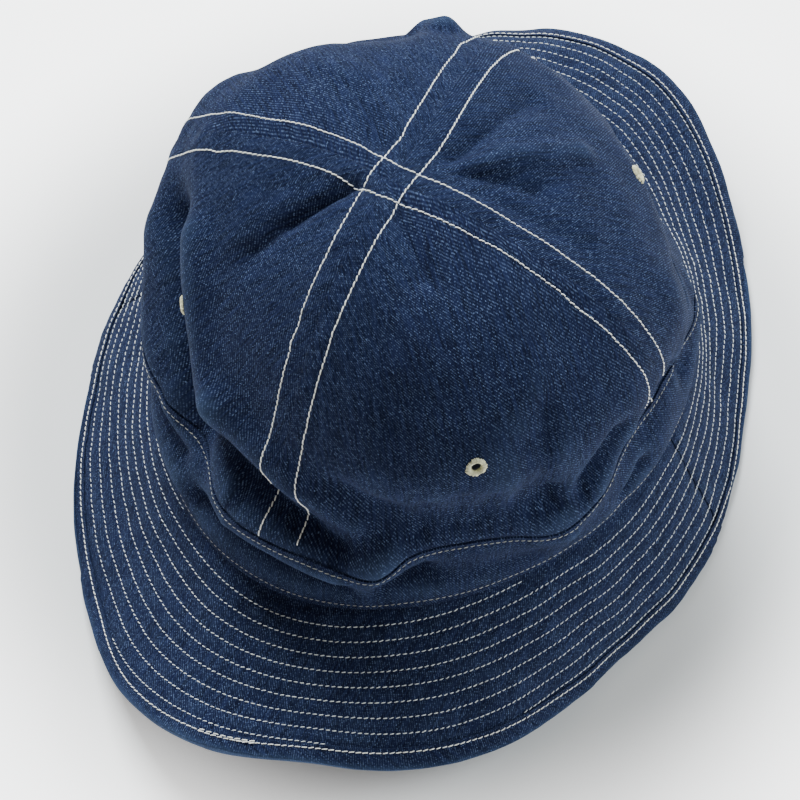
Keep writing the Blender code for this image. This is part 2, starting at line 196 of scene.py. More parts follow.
class RowPoint(NamedTuple):
    """The brim's outermost turn of stitches at one bearing, in metres in from the edge."""

    bearing: float
    first: float
    pitch: float


class SeamTurn(NamedTuple):
    """How far a crown seam lies turned from its bearing at one climb, in degrees."""

    seam: float
    climb: float
    turn: float


class Fold(NamedTuple):
    """A fold of the crown: a line of (bearing, climb) points, its half width and its depth.

    Half width and depth are shares of CROWN_HEIGHT. A positive depth stands out. Sharpness is
    the exponent of its cross profile: 2 is round, less is a crease.
    """

    name: str
    line: tuple[tuple[float, float], ...]
    half_width: float
    depth: float
    sharpness: float = 2.0


class Gore(NamedTuple):
    """One quarter of the crown, between two seams."""

    place: str
    right_bearing: float
    left_bearing: float

    @property
    def middle(self) -> float:
        """Bearing of its middle line, where its eyelet is."""
        return (self.right_bearing + self.left_bearing) / 2


def table(kind: type, *rows: tuple) -> tuple[Any, ...]:
    """Name the columns of a table's rows."""
    return tuple(kind(*row) for row in rows)


BRIM_SECTIONS = table(
    BrimSection,
    (0, -0.05, 0.85, 58, 66), (30, -0.14, 0.89, 78, 50), (60, -0.12, 0.98, 70, 28),
    (90, 0.03, 1.1, 25, 17), (120, 0.21, 1.12, 16, 46), (150, 0.26, 1.14, 33, 72),
    (180, 0.15, 1.12, 46, 58), (210, -0.05, 1.06, 64, 45), (240, -0.16, 0.99, 58, 30),
    (270, -0.13, 0.98, 27, 6), (300, -0.03, 0.9, 25, 24), (330, 0.01, 0.87, 46, 66),
)

CROWN_SECTIONS = table(
    CrownSection,
    (0, 1.94, 0.15, -0.06, 1), (30, 1.85, 0.06, -0.05, 4), (60, 1.92, 0.01, -0.08, 9),
    (90, 2.04, 0.05, -0.11, 15), (120, 1.98, 0.16, -0.12, 18), (150, 2.04, 0.29, -0.08, 14),
    (180, 2.02, 0.31, -0.01, 5), (210, 1.9, 0.19, 0.02, -3), (240, 1.86, 0.01, 0.02, -6),
    (270, 2.22, -0.07, -0.03, -4), (300, 2.38, 0.06, -0.11, -1), (330, 2.22, 0.17, -0.1, 1),
)

SEAM_COURSE = table(
    SeamPoint,
    (224, -0.0005, 0.0), (228, -0.0005, 0.0), (232, -0.0025, 0.0), (236, -0.0067, 0.0),
    (240, -0.0095, 0.0), (244, -0.008, 0.0), (248, -0.005, 0.0), (252, -0.001, 0.0),
    (256, 0.003, 0.0), (262, 0.0057, 0.0), (270, 0.0072, 0.0), (280, 0.0075, 0.001),
    (288, 0.0074, 0.0055), (293, 0.0082, 0.008), (296.5, 0.0085, 0.0074), (299, 0.006, 0.0028),
    (302, 0.0033, 0.0005), (308, 0.0014, 0.0), (316, 0.0018, 0.0), (322, 0.0026, 0.002),
    (328, 0.0056, 0.006), (332, 0.007, 0.0065), (338, 0.0054, 0.0045), (344, 0.0028, 0.0015),
    (348, -0.0009, 0.0), (353, -0.0036, 0.0), (360, -0.0044, 0.0), (368, -0.0034, 0.0),
    (376, -0.0005, 0.0), (386, 0.002, 0.0),
)

SEAM_TURNS = table(
    SeamTurn,
    (90, 0.5, 0.0), (90, 0.65, 1.6), (90, 0.74, 2.6), (90, 0.83, 2.8), (90, 0.9, 1.0),
    (90, 0.95, 0.0), (180, 0.44, 0.0), (180, 0.55, 1.5), (180, 0.67, 2.6), (180, 0.8, 2.4),
    (180, 0.89, 0.8), (180, 0.94, 0.0), (270, 0.13, 4.0), (270, 0.23, 4.8), (270, 0.3, 2.8),
    (270, 0.45, 3.1), (270, 0.55, 2.7), (270, 0.66, 1.7), (270, 0.8, 1.0), (270, 0.9, 0.5),
    (270, 0.97, 0.0),
)

ROW_COURSE = table(
    RowPoint,
    (250, 0.0058, 0.0055), (262, 0.007, 0.0053), (276, 0.0072, 0.0051), (290, 0.0064, 0.005),
    (304, 0.0056, 0.0051), (316, 0.0067, 0.0051), (330, 0.0084, 0.005), (348, 0.0072, 0.0049),
    (366, 0.0078, 0.0051), (400, 0.0078, 0.0052), (430, 0.0072, 0.0053), (456, 0.0074, 0.0055),
    (500, 0.0084, 0.0053), (560, 0.0086, 0.0049), (578, 0.01, 0.0051), (594, 0.0106, 0.0054),
    (610, 0.0113, 0.0055),
)

BRIM_EDGE = table(
    EdgePoint,
    (0, 0.0032, 0.0015), (10, 0.004, 0.002), (20, 0.004, 0.0024), (30, 0.0027, 0.0026),
    (40, 0.0018, 0.0028), (50, 0.0015, 0.003), (58, 0.0021, 0.003), (66, 0.0018, 0.0026),
    (73, 0.0006, 0.0022), (79, 0.0008, 0.002), (86, 0.0028, 0.0016), (93, 0.0039, 0.0014),
    (101, 0.0044, 0.001), (114, 0.002, 0.001), (130, 0.0, 0.001), (180, 0.0004, 0.001),
    (190, 0.0009, 0.001), (198, 0.0014, 0.0012), (206, 0.0012, 0.0012), (214, 0.0006, 0.0012),
    (224, 0.0006, 0.0012), (234, -0.0003, 0.0012), (246, -0.0006, 0.0008), (256, 0.001, 0.0004),
    (268, 0.0018, 0.0), (273, 0.0015, 0.0), (277, 0.0002, 0.0002), (281, -0.0012, 0.0006),
    (285, -0.0023, 0.0008), (289, -0.0017, 0.0008), (293, 0.0, 0.0006), (298, 0.0007, 0.0004),
    (305, 0.001, 0.0), (316, 0.0006, 0.0), (326, 0.0015, 0.0002), (333, 0.0018, 0.0006),
    (350, 0.0028, 0.0012),
)

FOLDS = table(
    Fold,
    ("groove beside the top", ((214, 0.905), (220.5, 0.833), (224, 0.77), (227, 0.68),
     (228, 0.62)), 0.052, -0.03, 1.6),
    ("bottom of that groove", ((217, 0.87), (223, 0.79), (226, 0.72)), 0.032, -0.015, 1.5),
    ("deep valley at the left", ((201, 0.41), (210, 0.385), (218, 0.355), (226, 0.32),
     (233, 0.275), (240, 0.225)), 0.08, -0.114, 1.7),
    ("roll left of the valley", ((199, 0.27), (209, 0.22), (222, 0.17)), 0.07, 0.016),
    ("hollow under the left eyelet", ((214, 0.28), (224, 0.245), (233, 0.2)), 0.1, -0.022),
    ("shoulder right of the valley", ((212, 0.49), (224, 0.455), (236, 0.4), (249, 0.33)),
     0.075, 0.034),
    ("crease under the valley", ((224, 0.125), (238, 0.125)), 0.04, -0.04, 1.5),
    ("belly of the band at the left", ((222, 0.06), (238, 0.07)), 0.06, 0.02),
    ("fold across the front seam", ((246, 0.25), (256, 0.245), (264, 0.225), (272, 0.205),
     (280, 0.18), (287, 0.145)), 0.05, -0.068, 1.6),
    ("crest over that fold", ((250, 0.345), (262, 0.315), (272, 0.29), (282, 0.26),
     (290, 0.21)), 0.06, 0.034),
    ("crease below the front fold", ((262, 0.2), (259, 0.15)), 0.028, -0.016, 1.5),
    ("soft fold beside that crest", ((288, 0.31), (298, 0.25), (303, 0.18)), 0.05, -0.022, 1.7),
    ("fullness of the front right gore", ((298, 0.4), (322, 0.4)), 0.16, 0.018),
    ("crease of the band in front", ((246, 0.08), (258, 0.085), (274, 0.068), (288, 0.055)),
     0.036, -0.056, 1.5),
    ("roll under the front seam", ((252, 0.135), (272, 0.12), (286, 0.095)), 0.03, 0.008),
    ("pocket beside the front kink", ((296, 0.055), (304, 0.075)), 0.048, -0.064, 1.7),
    ("hollow of the band at the right front", ((308, 0.07), (326, 0.06)), 0.06, -0.022),
    ("first gather of the front right gore", ((306, 0.28), (305, 0.17)), 0.03, -0.014, 1.6),
    ("second gather of the front right gore", ((312, 0.31), (311, 0.19)), 0.03, -0.014, 1.6),
    ("third gather of the front right gore", ((318, 0.3), (316, 0.19)), 0.032, -0.014, 1.6),
    ("fourth gather of the front right gore", ((325, 0.43), (324, 0.21)), 0.034, -0.016, 1.6),
    ("pleat at the right front", ((331.5, 0.48), (328, 0.38), (328, 0.2)), 0.04, -0.026, 1.6),
    ("tuck at the right front", ((331, 0.225), (331, 0.185)), 0.026, -0.034, 1.6),
    ("pleat over the right front tuck", ((349, 0.27), (343, 0.2), (336, 0.145)), 0.045, 0.022),
    ("pocket under that pleat", ((346, 0.3), (338, 0.2), (334, 0.13)), 0.04, -0.034, 1.6),
    ("pocket of the band at the right", ((350, 0.045), (355, 0.08)), 0.04, -0.04),
    ("pocket at the right seam", ((2, 0.24), (12, 0.2), (17, 0.13)), 0.05, -0.04, 1.7),
    ("roll behind the right seam", ((18, 0.36), (24, 0.14)), 0.095, 0.027),
    ("hollow behind the right eyelet", ((54, 0.33), (46, 0.32), (36, 0.3)), 0.085, -0.036),
    ("end of that hollow", ((33, 0.2), (29, 0.16)), 0.05, 0.026),
    ("slit at the right back", ((27, 0.33), (23, 0.28)), 0.02, -0.032, 1.6),
    ("ridge to the right back", ((41, 0.87), (45, 0.77), (44.5, 0.69), (46, 0.58)), 0.05,
     0.022),
    ("crease below that ridge", ((36, 0.86), (32, 0.775), (27.5, 0.7)), 0.038, -0.022, 1.6),
    ("crease above that ridge", ((50, 0.86), (59.5, 0.795), (65.5, 0.706), (68.5, 0.6)), 0.045,
     -0.028, 1.6),
    ("crease near the right seam", ((20, 0.81), (13, 0.7), (12, 0.6)), 0.04, -0.012, 1.6),
    ("hollow beside that ridge", ((74, 0.72), (70, 0.52)), 0.09, -0.01),
    ("sag of the back", ((104, 0.34), (128, 0.24)), 0.11, -0.026),
    ("flat of the back", ((116, 0.455), (131, 0.43), (147, 0.43)), 0.12, -0.046),
    ("knob at the back seam", ((104, 0.47), (109, 0.43)), 0.048, 0.05),
    ("dip beside that knob", ((93, 0.43), (84, 0.4)), 0.055, -0.03),
    ("crest left of the back seam", ((118, 0.86), (112, 0.66), (107, 0.5)), 0.06, 0.012),
    ("first crease of the left back", ((112, 0.9), (118, 0.77)), 0.032, -0.012, 1.5),
    ("second crease of the left back", ((137, 0.91), (141, 0.74)), 0.036, -0.015, 1.5),
    ("third crease of the left back", ((151, 0.9), (147, 0.68)), 0.034, -0.011, 1.5),
    ("fold at the left back", ((150, 0.36), (162, 0.14)), 0.09, -0.032),
    ("fullness of the left back", ((172, 0.56), (152, 0.62)), 0.22, 0.034),
    ("edge of the left back", ((159, 0.44), (174, 0.405), (187, 0.35), (194, 0.3)), 0.085,
     0.026),
    ("dent of the front right gore", ((334, 0.44), (346, 0.56)), 0.11, -0.014),
    ("crease below the crossing", ((308, 0.93), (314, 0.87), (316, 0.8)), 0.034, -0.018, 1.5),
    ("first crease of the left gore", ((243, 0.86), (238, 0.7), (228, 0.56)), 0.06, -0.008,
     1.6),
    ("second crease of the left gore", ((203, 0.86), (207, 0.7), (212, 0.56)), 0.06, -0.006,
     1.6),
)


GORES = table(
    Gore,
    ("back_right", 0, 90), ("back_left", 90, 180), ("front_left", 180, 270),
    ("front_right", 270, 360),
)


class Slot(Enum):
    """The record's material slots."""

    DENIM = "denim"
    BRIM = "brim_denim"
    BINDING = "binding_denim"
    THREAD = "thread"


def unit(vectors: Array) -> Array:
    """Scale vectors to length one."""
    return vectors / np.maximum(np.linalg.norm(vectors, axis=-1, keepdims=True), 1e-12)


def bump_of(distance: Array, width: float | Array) -> Array:
    """A round bump: one at no distance, fading over the width."""
    return np.exp(-((distance / width) ** 2))


def smooth_step(value: Array, low: float, high: float) -> Array:
    """Rise smoothly from 0 at low to 1 at high."""
    share = np.clip((value - low) / (high - low), 0, 1)
    return share * share * (3 - 2 * share)


def round_table(rows: Sequence[Any], column: str, bearing: Array) -> Array:
    """Read one column of a table at any bearings, on a smooth closed curve.

    Args:
        rows: the table, one row each for equal steps of bearing.
        column: the column's name.
        bearing: degrees, of any shape.

    Returns:
        The column's value at each bearing.
    """
    values = np.array([getattr(row, column) for row in rows], float)
    count = len(values)
    place = np.mod(bearing, 360) / 360 * count
    row = np.floor(place).astype(int)
    share = place - row
    before, here, after, beyond = (values[(row + step) % count] for step in (-1, 0, 1, 2))
    slope_here, slope_after = (after - before) / 2, (beyond - here) / 2
    cubed, squared = share**3, share**2
    return (
        here * (2 * cubed - 3 * squared + 1)
        + slope_here * (cubed - 2 * squared + share)
        + after * (3 * squared - 2 * cubed)
        + slope_after * (cubed - squared)
    )


def smoothed(rows: Sequence[Any], column: str, place: Array, near: Array,
             key: str = "bearing", **ends: float) -> Array:
    """Read a column of an uneven table as the mean over nearby places, so that it turns softly.

    Args:
        rows: the table, in rising order of its key.
        column: the column's name.
        place: where to read it, of any shape.
        near: the steps aside that the mean takes in.
        key: the column that says where each row stands.
        ends: how to read past the table's ends, as np.interp takes it.

    Returns:
        The column's value at each place.
    """
    return np.interp(np.asarray(place)[..., None] + near, [getattr(row, key) for row in rows],
                     [getattr(row, column) for row in rows], **ends).mean(-1)


def stride(surface: Callable[[Array, Array], Array], bearing: Array, other: Array) -> Array:
    """Length of a small turn on a surface, in metres."""
    return np.linalg.norm(surface(bearing + SMALL_TURN, other) - surface(bearing, other),
                          axis=-1)


def off_wall(wall: Callable[[Array, Array], Array], bearing: Array, climb: Array) -> Array:
    """Unit directions off the outer face of a wall of the crown.

    Args:
        wall: the wall's points for bearings and climbs.
        bearing: degrees round the hat.
        climb: climbs up the wall.

    Returns:
        The directions, of length one.
    """
    bearing, climb = np.broadcast_arrays(np.asarray(bearing, float),
                                         np.minimum(climb, 1 - 2 * SMALL_CLIMB))
    here = wall(bearing, climb)
    along = wall(bearing + SMALL_TURN, climb) - here
    up = wall(bearing, climb + SMALL_CLIMB) - here
    return unit(np.cross(along, up))


def round_off(values: Array, reach: int) -> Array:
    """Smooth a line of values over so many neighbours to each side, and keep its ends.

    Args:
        values: the line, in even steps.
        reach: how many neighbours to each side.

    Returns:
        The smoothed line, as long as before.
    """
    kernel = np.hanning(2 * reach + 1)
    padded = np.pad(values, reach, mode="reflect", reflect_type="odd")
    return np.convolve(padded, kernel / kernel.sum(), "valid")


@dataclass(frozen=True)
class Ripples:
    """Gentle chance unevenness of cloth, as seeded waves through space."""

    seed: int
    count: int
    shortest: float
    longest: float
    height: float

    def at(self, points: Array) -> Array:
        """Height of the ripples at points of any shape, in metres.

        Args:
            points: where to read them, in metres.

        Returns:
            The height at each place, in metres.
        """
        draw = np.random.default_rng(self.seed)
        directions = unit(draw.normal(size=(self.count, 3)))
        lengths = draw.uniform(self.shortest, self.longest, self.count)
        phases = draw.uniform(0, 2 * math.pi, self.count)
        total = np.zeros(points.shape[:-1])
        for direction, length, phase in zip(directions, lengths, phases):
            total += np.sin(points @ direction * (2 * math.pi / length) + phase)
        return total * self.height / math.sqrt(self.count / 2)


@dataclass
class HatForm:
    """The hat's cloth surfaces as functions of bearing and of climb or distance out.

    Points are in the row frame, in metres: the head mount's place is the forms' own origin.
    """

    place: Array
    seam_ridge: float = 0.00040
    seam_half: float = 0.00635
    row_dip: float = 0.00028
    row_dip_width: float = 0.0009
    seam_slope: tuple[float, float] = (0.0002, 0.0022)
    joint_dip: float = 0.00012
    joint_width: float = 0.0006
    pucker_range: tuple[float, float] = (0.002, 0.013)
    bound_slope: tuple[float, float] = (0.0006, 0.0030)
    calm_at_seam: float = 0.010
    gore_start: float = 0.02
    plain_share: float = 0.5
    pucker_share: float = 1.3
    quilt_height: float = 0.00035
    quilt_width: float = 0.0013
    crown_ripples: Ripples = Ripples(seed=11, count=26, shortest=0.016, longest=0.050,
                                     height=0.00028)
    brim_ripples: Ripples = Ripples(seed=12, count=24, shortest=0.014, longest=0.060,
                                    height=0.00026)
    fine_ripples: Ripples = Ripples(seed=13, count=24, shortest=0.0042, longest=0.0085,
                                    height=0.00007)
    floor: float = field(init=False)
    seam_fix: Array = field(init=False)

    def __post_init__(self) -> None:
        """Find the level of the floor, and what brings the band seam to its course."""
        turns = np.arange(360.0)
        self.floor = self._hanging(turns, self.brim_width(turns))[..., 2].min() + FLOOR_PRESS
        length = SEAM_COURSE[-1].bearing - SEAM_COURSE[0].bearing
        past = np.mod(FIX_TURNS - SEAM_COURSE[0].bearing, 360)
        held = smooth_step(past, 0, COURSE_SET_IN)
        held *= 1 - smooth_step(past, length - COURSE_FADE, length)
        folded = self.fold_depth(FIX_TURNS, self.band_climb(FIX_TURNS))
        self.seam_fix = (self.course("push", FIX_TURNS) - folded) * held

    def course(self, column: str, bearing: Array) -> Array:
        """Read a column of the seam's course at any bearings.

        Args:
            column: the column's name.
            bearing: degrees round the hat.

        Returns:
            The column's value at each bearing.
        """
        first = SEAM_COURSE[0].bearing
        place = np.mod(bearing - first, 360) + first
        return smoothed(SEAM_COURSE, column, place, np.arange(-2.0, 2.1, 1.0), left=0.0,
                        right=0.0)

    def edge_table(self, column: str, bearing: Array) -> Array:
        """Read a column of the brim's edge at any bearings."""
        return smoothed(BRIM_EDGE, column, bearing, np.arange(-3.0, 3.1, 1.0), period=360)

    def row_course(self, column: str, bearing: Array) -> Array:
        """Read a column of the stitch rows' course at any bearings.

        Args:
            column: the column's name.
            bearing: degrees round the hat.

        Returns:
            The column's value at each bearing.
        """
        start = ROW_COURSE[0].bearing
        place = np.mod(bearing - start, 360) + start
        return smoothed(ROW_COURSE, column, place, np.arange(-5.0, 5.1, 2.5))

    def head_seam(self, bearing: Array) -> Array:
        """Points of the seam between brim and band, about the head mount.

        Args:
            bearing: degrees round the hat.

        Returns:
            The points, in metres.
        """
        turn = np.radians(bearing)
        rise = round_table(BRIM_SECTIONS, "rise", bearing) * BRIM_WIDTH
        return np.stack([HEAD_WIDTH / 2 * np.cos(turn), HEAD_LENGTH / 2 * np.sin(turn), rise],
                        -1)

    def outward(self, bearing: Array) -> Array:
        """Level directions square to the head seam, away from the head.

        Args:
            bearing: degrees round the hat.

        Returns:
            The directions, of length one.
        """
        turn = np.radians(bearing)
        return unit(np.stack([np.cos(turn) / HEAD_WIDTH, np.sin(turn) / HEAD_LENGTH,
                              np.zeros_like(turn)], -1))

    def brim_width(self, bearing: Array) -> Array:
        """Cloth from head seam to edge."""
        return round_table(BRIM_SECTIONS, "width", bearing) * BRIM_WIDTH

    def _hanging(self, bearing: Array, out: Array) -> Array:
        """Points of the brim's middle layer before the floor lifts it, about the mount.

        Args:
            bearing: degrees round the hat.
            out: metres from the head seam along the cloth.

        Returns:
            The points, in metres.
        """
        start = np.radians(round_table(BRIM_SECTIONS, "droop_at_seam", bearing))
        end = np.radians(round_table(BRIM_SECTIONS, "droop_at_edge", bearing))
        width = self.brim_width(bearing)
        bend = np.where(abs(end - start) < 1e-4, 1e-4, end - start) / width
        level = (np.sin(start + bend * out) - np.sin(start)) / bend
        fall = (np.cos(start) - np.cos(start + bend * out)) / bend
        return (self.head_seam(bearing) + self.outward(bearing) * level[..., None]
                - UPWARD * fall[..., None])

    def brim_smooth(self, bearing: Array, out: Array) -> Array:
        """Points of the brim's middle layer without its quilting.

        Args:
            bearing: degrees round the hat.
            out: metres from the head seam along the cloth.

        Returns:
            The points, in metres.
        """
        bearing, out = np.broadcast_arrays(np.asarray(bearing, float), out)
        points = self._hanging(bearing, out)
        width = self.brim_width(bearing)
        lift = np.maximum(0.0, self.floor - self._hanging(bearing, width)[..., 2])
        share = np.maximum(0.0, out / width)
        points[..., 2] += lift * share**2
        reach = self.edge_table("reach", bearing) * share**3
        curled = np.clip(1 - (width - out) / CURL_WIDTH, 0, 1) ** 2
        curl = self.edge_table("curl", bearing) * curled
        droop = np.radians(round_table(BRIM_SECTIONS, "droop_at_edge", bearing))
        level, fall = np.cos(droop), np.sin(droop)
        points += self.outward(bearing) * (reach * level - curl * fall)[..., None]
        points[..., 2] -= reach * fall + curl * level
        points[..., 2] = np.maximum(points[..., 2], self.floor)
        return points + self.place

    def brim_up(self, bearing: Array, out: Array) -> Array:
        """Unit directions off the brim's top face.

        Args:
            bearing: degrees round the hat.
            out: metres from the head seam along the cloth.

        Returns:
            The directions, of length one.
        """
        here = self.brim_smooth(bearing, out)
        along = self.brim_smooth(np.asarray(bearing) + SMALL_TURN, out) - here
        run = here - self.brim_smooth(bearing, out - SMALL_LENGTH)
        return unit(np.cross(run, along))

    def row_distance(self, bearing: Array, out: Array) -> Array:
        """Distance along the brim's cloth to the nearest row of stitches.

        Args:
            bearing: degrees round the hat.
            out: metres from the head seam along the cloth.

        Returns:
            The distance in metres, below zero on the row's side towards the edge.
        """
        pitch = self.row_course("pitch", bearing)
        inside = self.brim_width(bearing) - out - self.row_course("first", bearing)
        return np.mod(inside + pitch / 2, pitch) - pitch / 2

    def binding_width(self, bearing: Array) -> Array:
        """Width of the folded strip, which is taken up near its join."""
        aside = np.mod(bearing - BINDING_JOIN + 190, 360) - 180
        return BINDING_WIDTH * (1 - BINDING_TAKE_UP * bump_of(aside, BINDING_JOIN_SPREAD))

    def brim(self, bearing: Array, out: Array) -> Array:
        """Points of the brim's middle layer, quilted between the stitch rows.

        Args:
            bearing: degrees round the hat.
            out: metres from the head seam along the cloth.

        Returns:
            The points, in metres.
        """
        bearing, out = np.broadcast_arrays(np.asarray(bearing, float), out)
        points = self.brim_smooth(bearing, out)
        out = np.maximum(out, 0.0)
        quilt = self.quilt_height * (1 - bump_of(self.row_distance(bearing, out),
                                                 self.quilt_width))
        covered = self.binding_width(bearing)
        low, high = self.bound_slope
        bound = smooth_step(self.brim_width(bearing) - out, covered + low, covered + high)
        near_seam = smooth_step(out, 0.0, self.calm_at_seam)
        push = (quilt + self.fine_ripples.at(points)) * bound
        push += self.brim_ripples.at(points) * near_seam
        return points + self.brim_up(bearing, out) * push[..., None]

    def crown_smooth(self, bearing: Array, climb: Array) -> Array:
        """Points of the crown's wall without folds.

        Args:
            bearing: degrees round the hat.
            climb: climbs up the wall.

        Returns:
            The points, in metres.
        """
        bearing, climb = np.broadcast_arrays(np.asarray(bearing, float), climb)
        roundness, bulge, waist, lean = (
            round_table(CROWN_SECTIONS, column, bearing)
            for column in ("roundness", "bulge", "waist", "lean"))
        arch = np.sin(math.pi * climb)
        turn = climb * (math.pi / 2)
        reach = np.maximum(0.0, np.cos(turn)) ** (2 / roundness)
        reach = reach * (1 + bulge * arch + waist * bump_of(climb - WAIST_CLIMB, WAIST_SPREAD))
        share = np.maximum(0.0, np.sin(turn)) ** (2 / roundness)
        foot = self.head_seam(bearing + lean * arch)
        top = np.array([TOP_SHIFT_ACROSS * HEAD_WIDTH, TOP_SHIFT_ALONG * HEAD_LENGTH, 0.0])
        level = np.array([1.0, 1.0, 0.0])
        points = top + (foot * level - top) * reach[..., None]
        points[..., 2] = foot[..., 2] + (CROWN_HEIGHT - foot[..., 2]) * share
        return points + self.place

    def fold_depth(self, bearing: Array, climb: Array) -> Array:
        """How far all folds together push the wall out.

        Args:
            bearing: degrees round the hat.
            climb: climbs up the wall.

        Returns:
            The depth at each place, in metres.
        """
        radius = (HEAD_WIDTH + HEAD_LENGTH) / 4
        reach = radius * np.maximum(0.0, np.cos(climb * (math.pi / 2))) ** DOME_ROUNDNESS
        arc = (radius + CROWN_HEIGHT) * DOME_ARC
        depth = np.zeros(climb.shape)
        for fold in FOLDS:
            nearest = np.full(bearing.shape, np.inf)
            first = fold.line[0][0]
            ahead = np.mod(first - bearing + 180, 360) - 180
            places = [(np.radians(ahead + turn - first) * reach, (rise - climb) * arc)
                      for turn, rise in fold.line]
            for (start_x, start_y), (end_x, end_y) in zip(places, places[1:]):
                run_x, run_y = end_x - start_x, end_y - start_y
                length = np.maximum(run_x**2 + run_y**2, 1e-12)
                share = np.clip(-(start_x * run_x + start_y * run_y) / length, 0, 1)
                gap = np.hypot(start_x + run_x * share, start_y + run_y * share)
                nearest = np.minimum(nearest, gap)
            ratio = nearest / (fold.half_width * CROWN_HEIGHT)
            depth += fold.depth * CROWN_HEIGHT * np.exp(-(ratio**fold.sharpness))
        return depth

    def crown_plan(self, bearing: Array, climb: Array) -> Array:
        """Level position of the unfolded crown's points from the top's axis."""
        top = np.array([TOP_SHIFT_ACROSS * HEAD_WIDTH, TOP_SHIFT_ALONG * HEAD_LENGTH])
        return self.crown_smooth(bearing, climb)[..., :2] - self.place[:2] - top

    def turned(self, bearing: Array, climb: Array) -> Array:
        """How far the cloth at each place is turned with the nearest seam, in degrees.

        Args:
            bearing: degrees round the hat.
            climb: climbs up the wall.

        Returns:
            The turn at each place.
        """
        total = np.zeros(np.broadcast_shapes(np.shape(bearing), np.shape(climb)))
        for seam in sorted({row.seam for row in SEAM_TURNS}):
            rows = [row for row in SEAM_TURNS if row.seam == seam]
            turn = smoothed(rows, "turn", climb, np.arange(-0.02, 0.021, 0.01), key="climb")
            aside = np.mod(bearing - seam + 180, 360) - 180
            total = total + turn * bump_of(aside, SEAM_TURN_SPREAD)
        return total

    def seam_distance(self, bearing: Array, climb: Array) -> Array:
        """Distance round the crown to the nearest of its four seams.

        Args:
            bearing: degrees round the hat.
            climb: climbs up the wall.

        Returns:
            The distance at each place, in metres.
        """
        straight = bearing - self.turned(bearing, climb)
        straight = bearing - self.turned(straight, climb)
        plan = self.crown_plan(straight, climb)
        nearest = np.full(plan.shape[:-1], np.inf)
        for gore in GORES:
            ray = unit(self.crown_plan(np.full(climb.shape, float(gore.right_bearing)),
                                       np.minimum(climb, 0.999)))
            beside = abs(ray[..., 0] * plan[..., 1] - ray[..., 1] * plan[..., 0])
            ahead = (ray * plan).sum(-1)
            nearest = np.minimum(nearest, np.where(ahead > 0, beside,
                                                   np.linalg.norm(plan, axis=-1)))
        return nearest

    def band_climb(self, bearing: Array) -> Array:
        """Climb of the seam between band and gores.

        Args:
            bearing: degrees round the hat.

        Returns:
            The climb at each bearing.
        """
        share = BAND_HEIGHT / (CROWN_HEIGHT - self.head_seam(bearing)[..., 2])
        roundness = round_table(CROWN_SECTIONS, "roundness", bearing)
        plain = np.arcsin(share ** (roundness / 2)) * 2 / math.pi
        return plain * (1 - self.course("slide", np.asarray(bearing)) / BAND_HEIGHT)

    def crown(self, bearing: Array, climb: Array, seams: bool = True) -> Array:
        """Points of the crown's wall with its folds, and with its felled seams if asked.

        Args:
            bearing: degrees round the hat.
            climb: climbs up the wall.
            seams: whether the felled seams are added.

        Returns:
            The points, in metres.
        """
        bearing, climb = np.broadcast_arrays(np.asarray(bearing, float),
                                             np.asarray(climb, float))
        points = self.crown_smooth(bearing, climb)
        fade = (np.clip(climb / FADE_AT_SEAM, 0, 1)
                * np.clip((1 - climb) / FADE_AT_TOP, 0, 1))
        over = climb - self.band_climb(bearing)
        roll = bump_of(over, np.where(over > 0, SEAM_ROLL_ABOVE, SEAM_ROLL_BELOW))
        fix = np.interp(np.mod(bearing, 360), FIX_TURNS, self.seam_fix)
        depth = self.fold_depth(bearing, climb) + fix * roll
        depth = depth * fade + self.crown_ripples.at(points) * fade
        if seams:
            depth = depth + self._seam_relief(bearing, climb, points)
        return points + off_wall(self.crown_smooth, bearing, climb) * depth[..., None]

    def _seam_relief(self, bearing: Array, climb: Array, points: Array) -> Array:
        """Height of the felled seams over the plain cloth, with their rows' dips.

        Args:
            bearing: degrees round the hat.
            climb: climbs up the wall.
            points: the same places on the unfolded wall.

        Returns:
            The height at each place, in metres.
        """
        distance = self.seam_distance(bearing, climb)
        on_gore = smooth_step(climb - self.band_climb(bearing), 0.0, self.gore_start)
        before, after = self.seam_slope
        ridge = self.seam_ridge * (1 - smooth_step(distance, self.seam_half - before,
                                                   self.seam_half + after))
        ridge -= self.row_dip * bump_of(distance - self.seam_half, self.row_dip_width)
        ridge -= self.joint_dip * bump_of(distance, self.joint_width)
        pucker = 1 - smooth_step(distance, *self.pucker_range)
        share = self.plain_share + self.pucker_share * pucker
        return (ridge + self.fine_ripples.at(points) * share) * on_gore

    def crown_up(self, bearing: Array, climb: Array) -> Array:
        """Unit directions off the crown's folded outer face."""
        return off_wall(lambda turn, rise: self.crown(turn, rise, seams=False), bearing, climb)

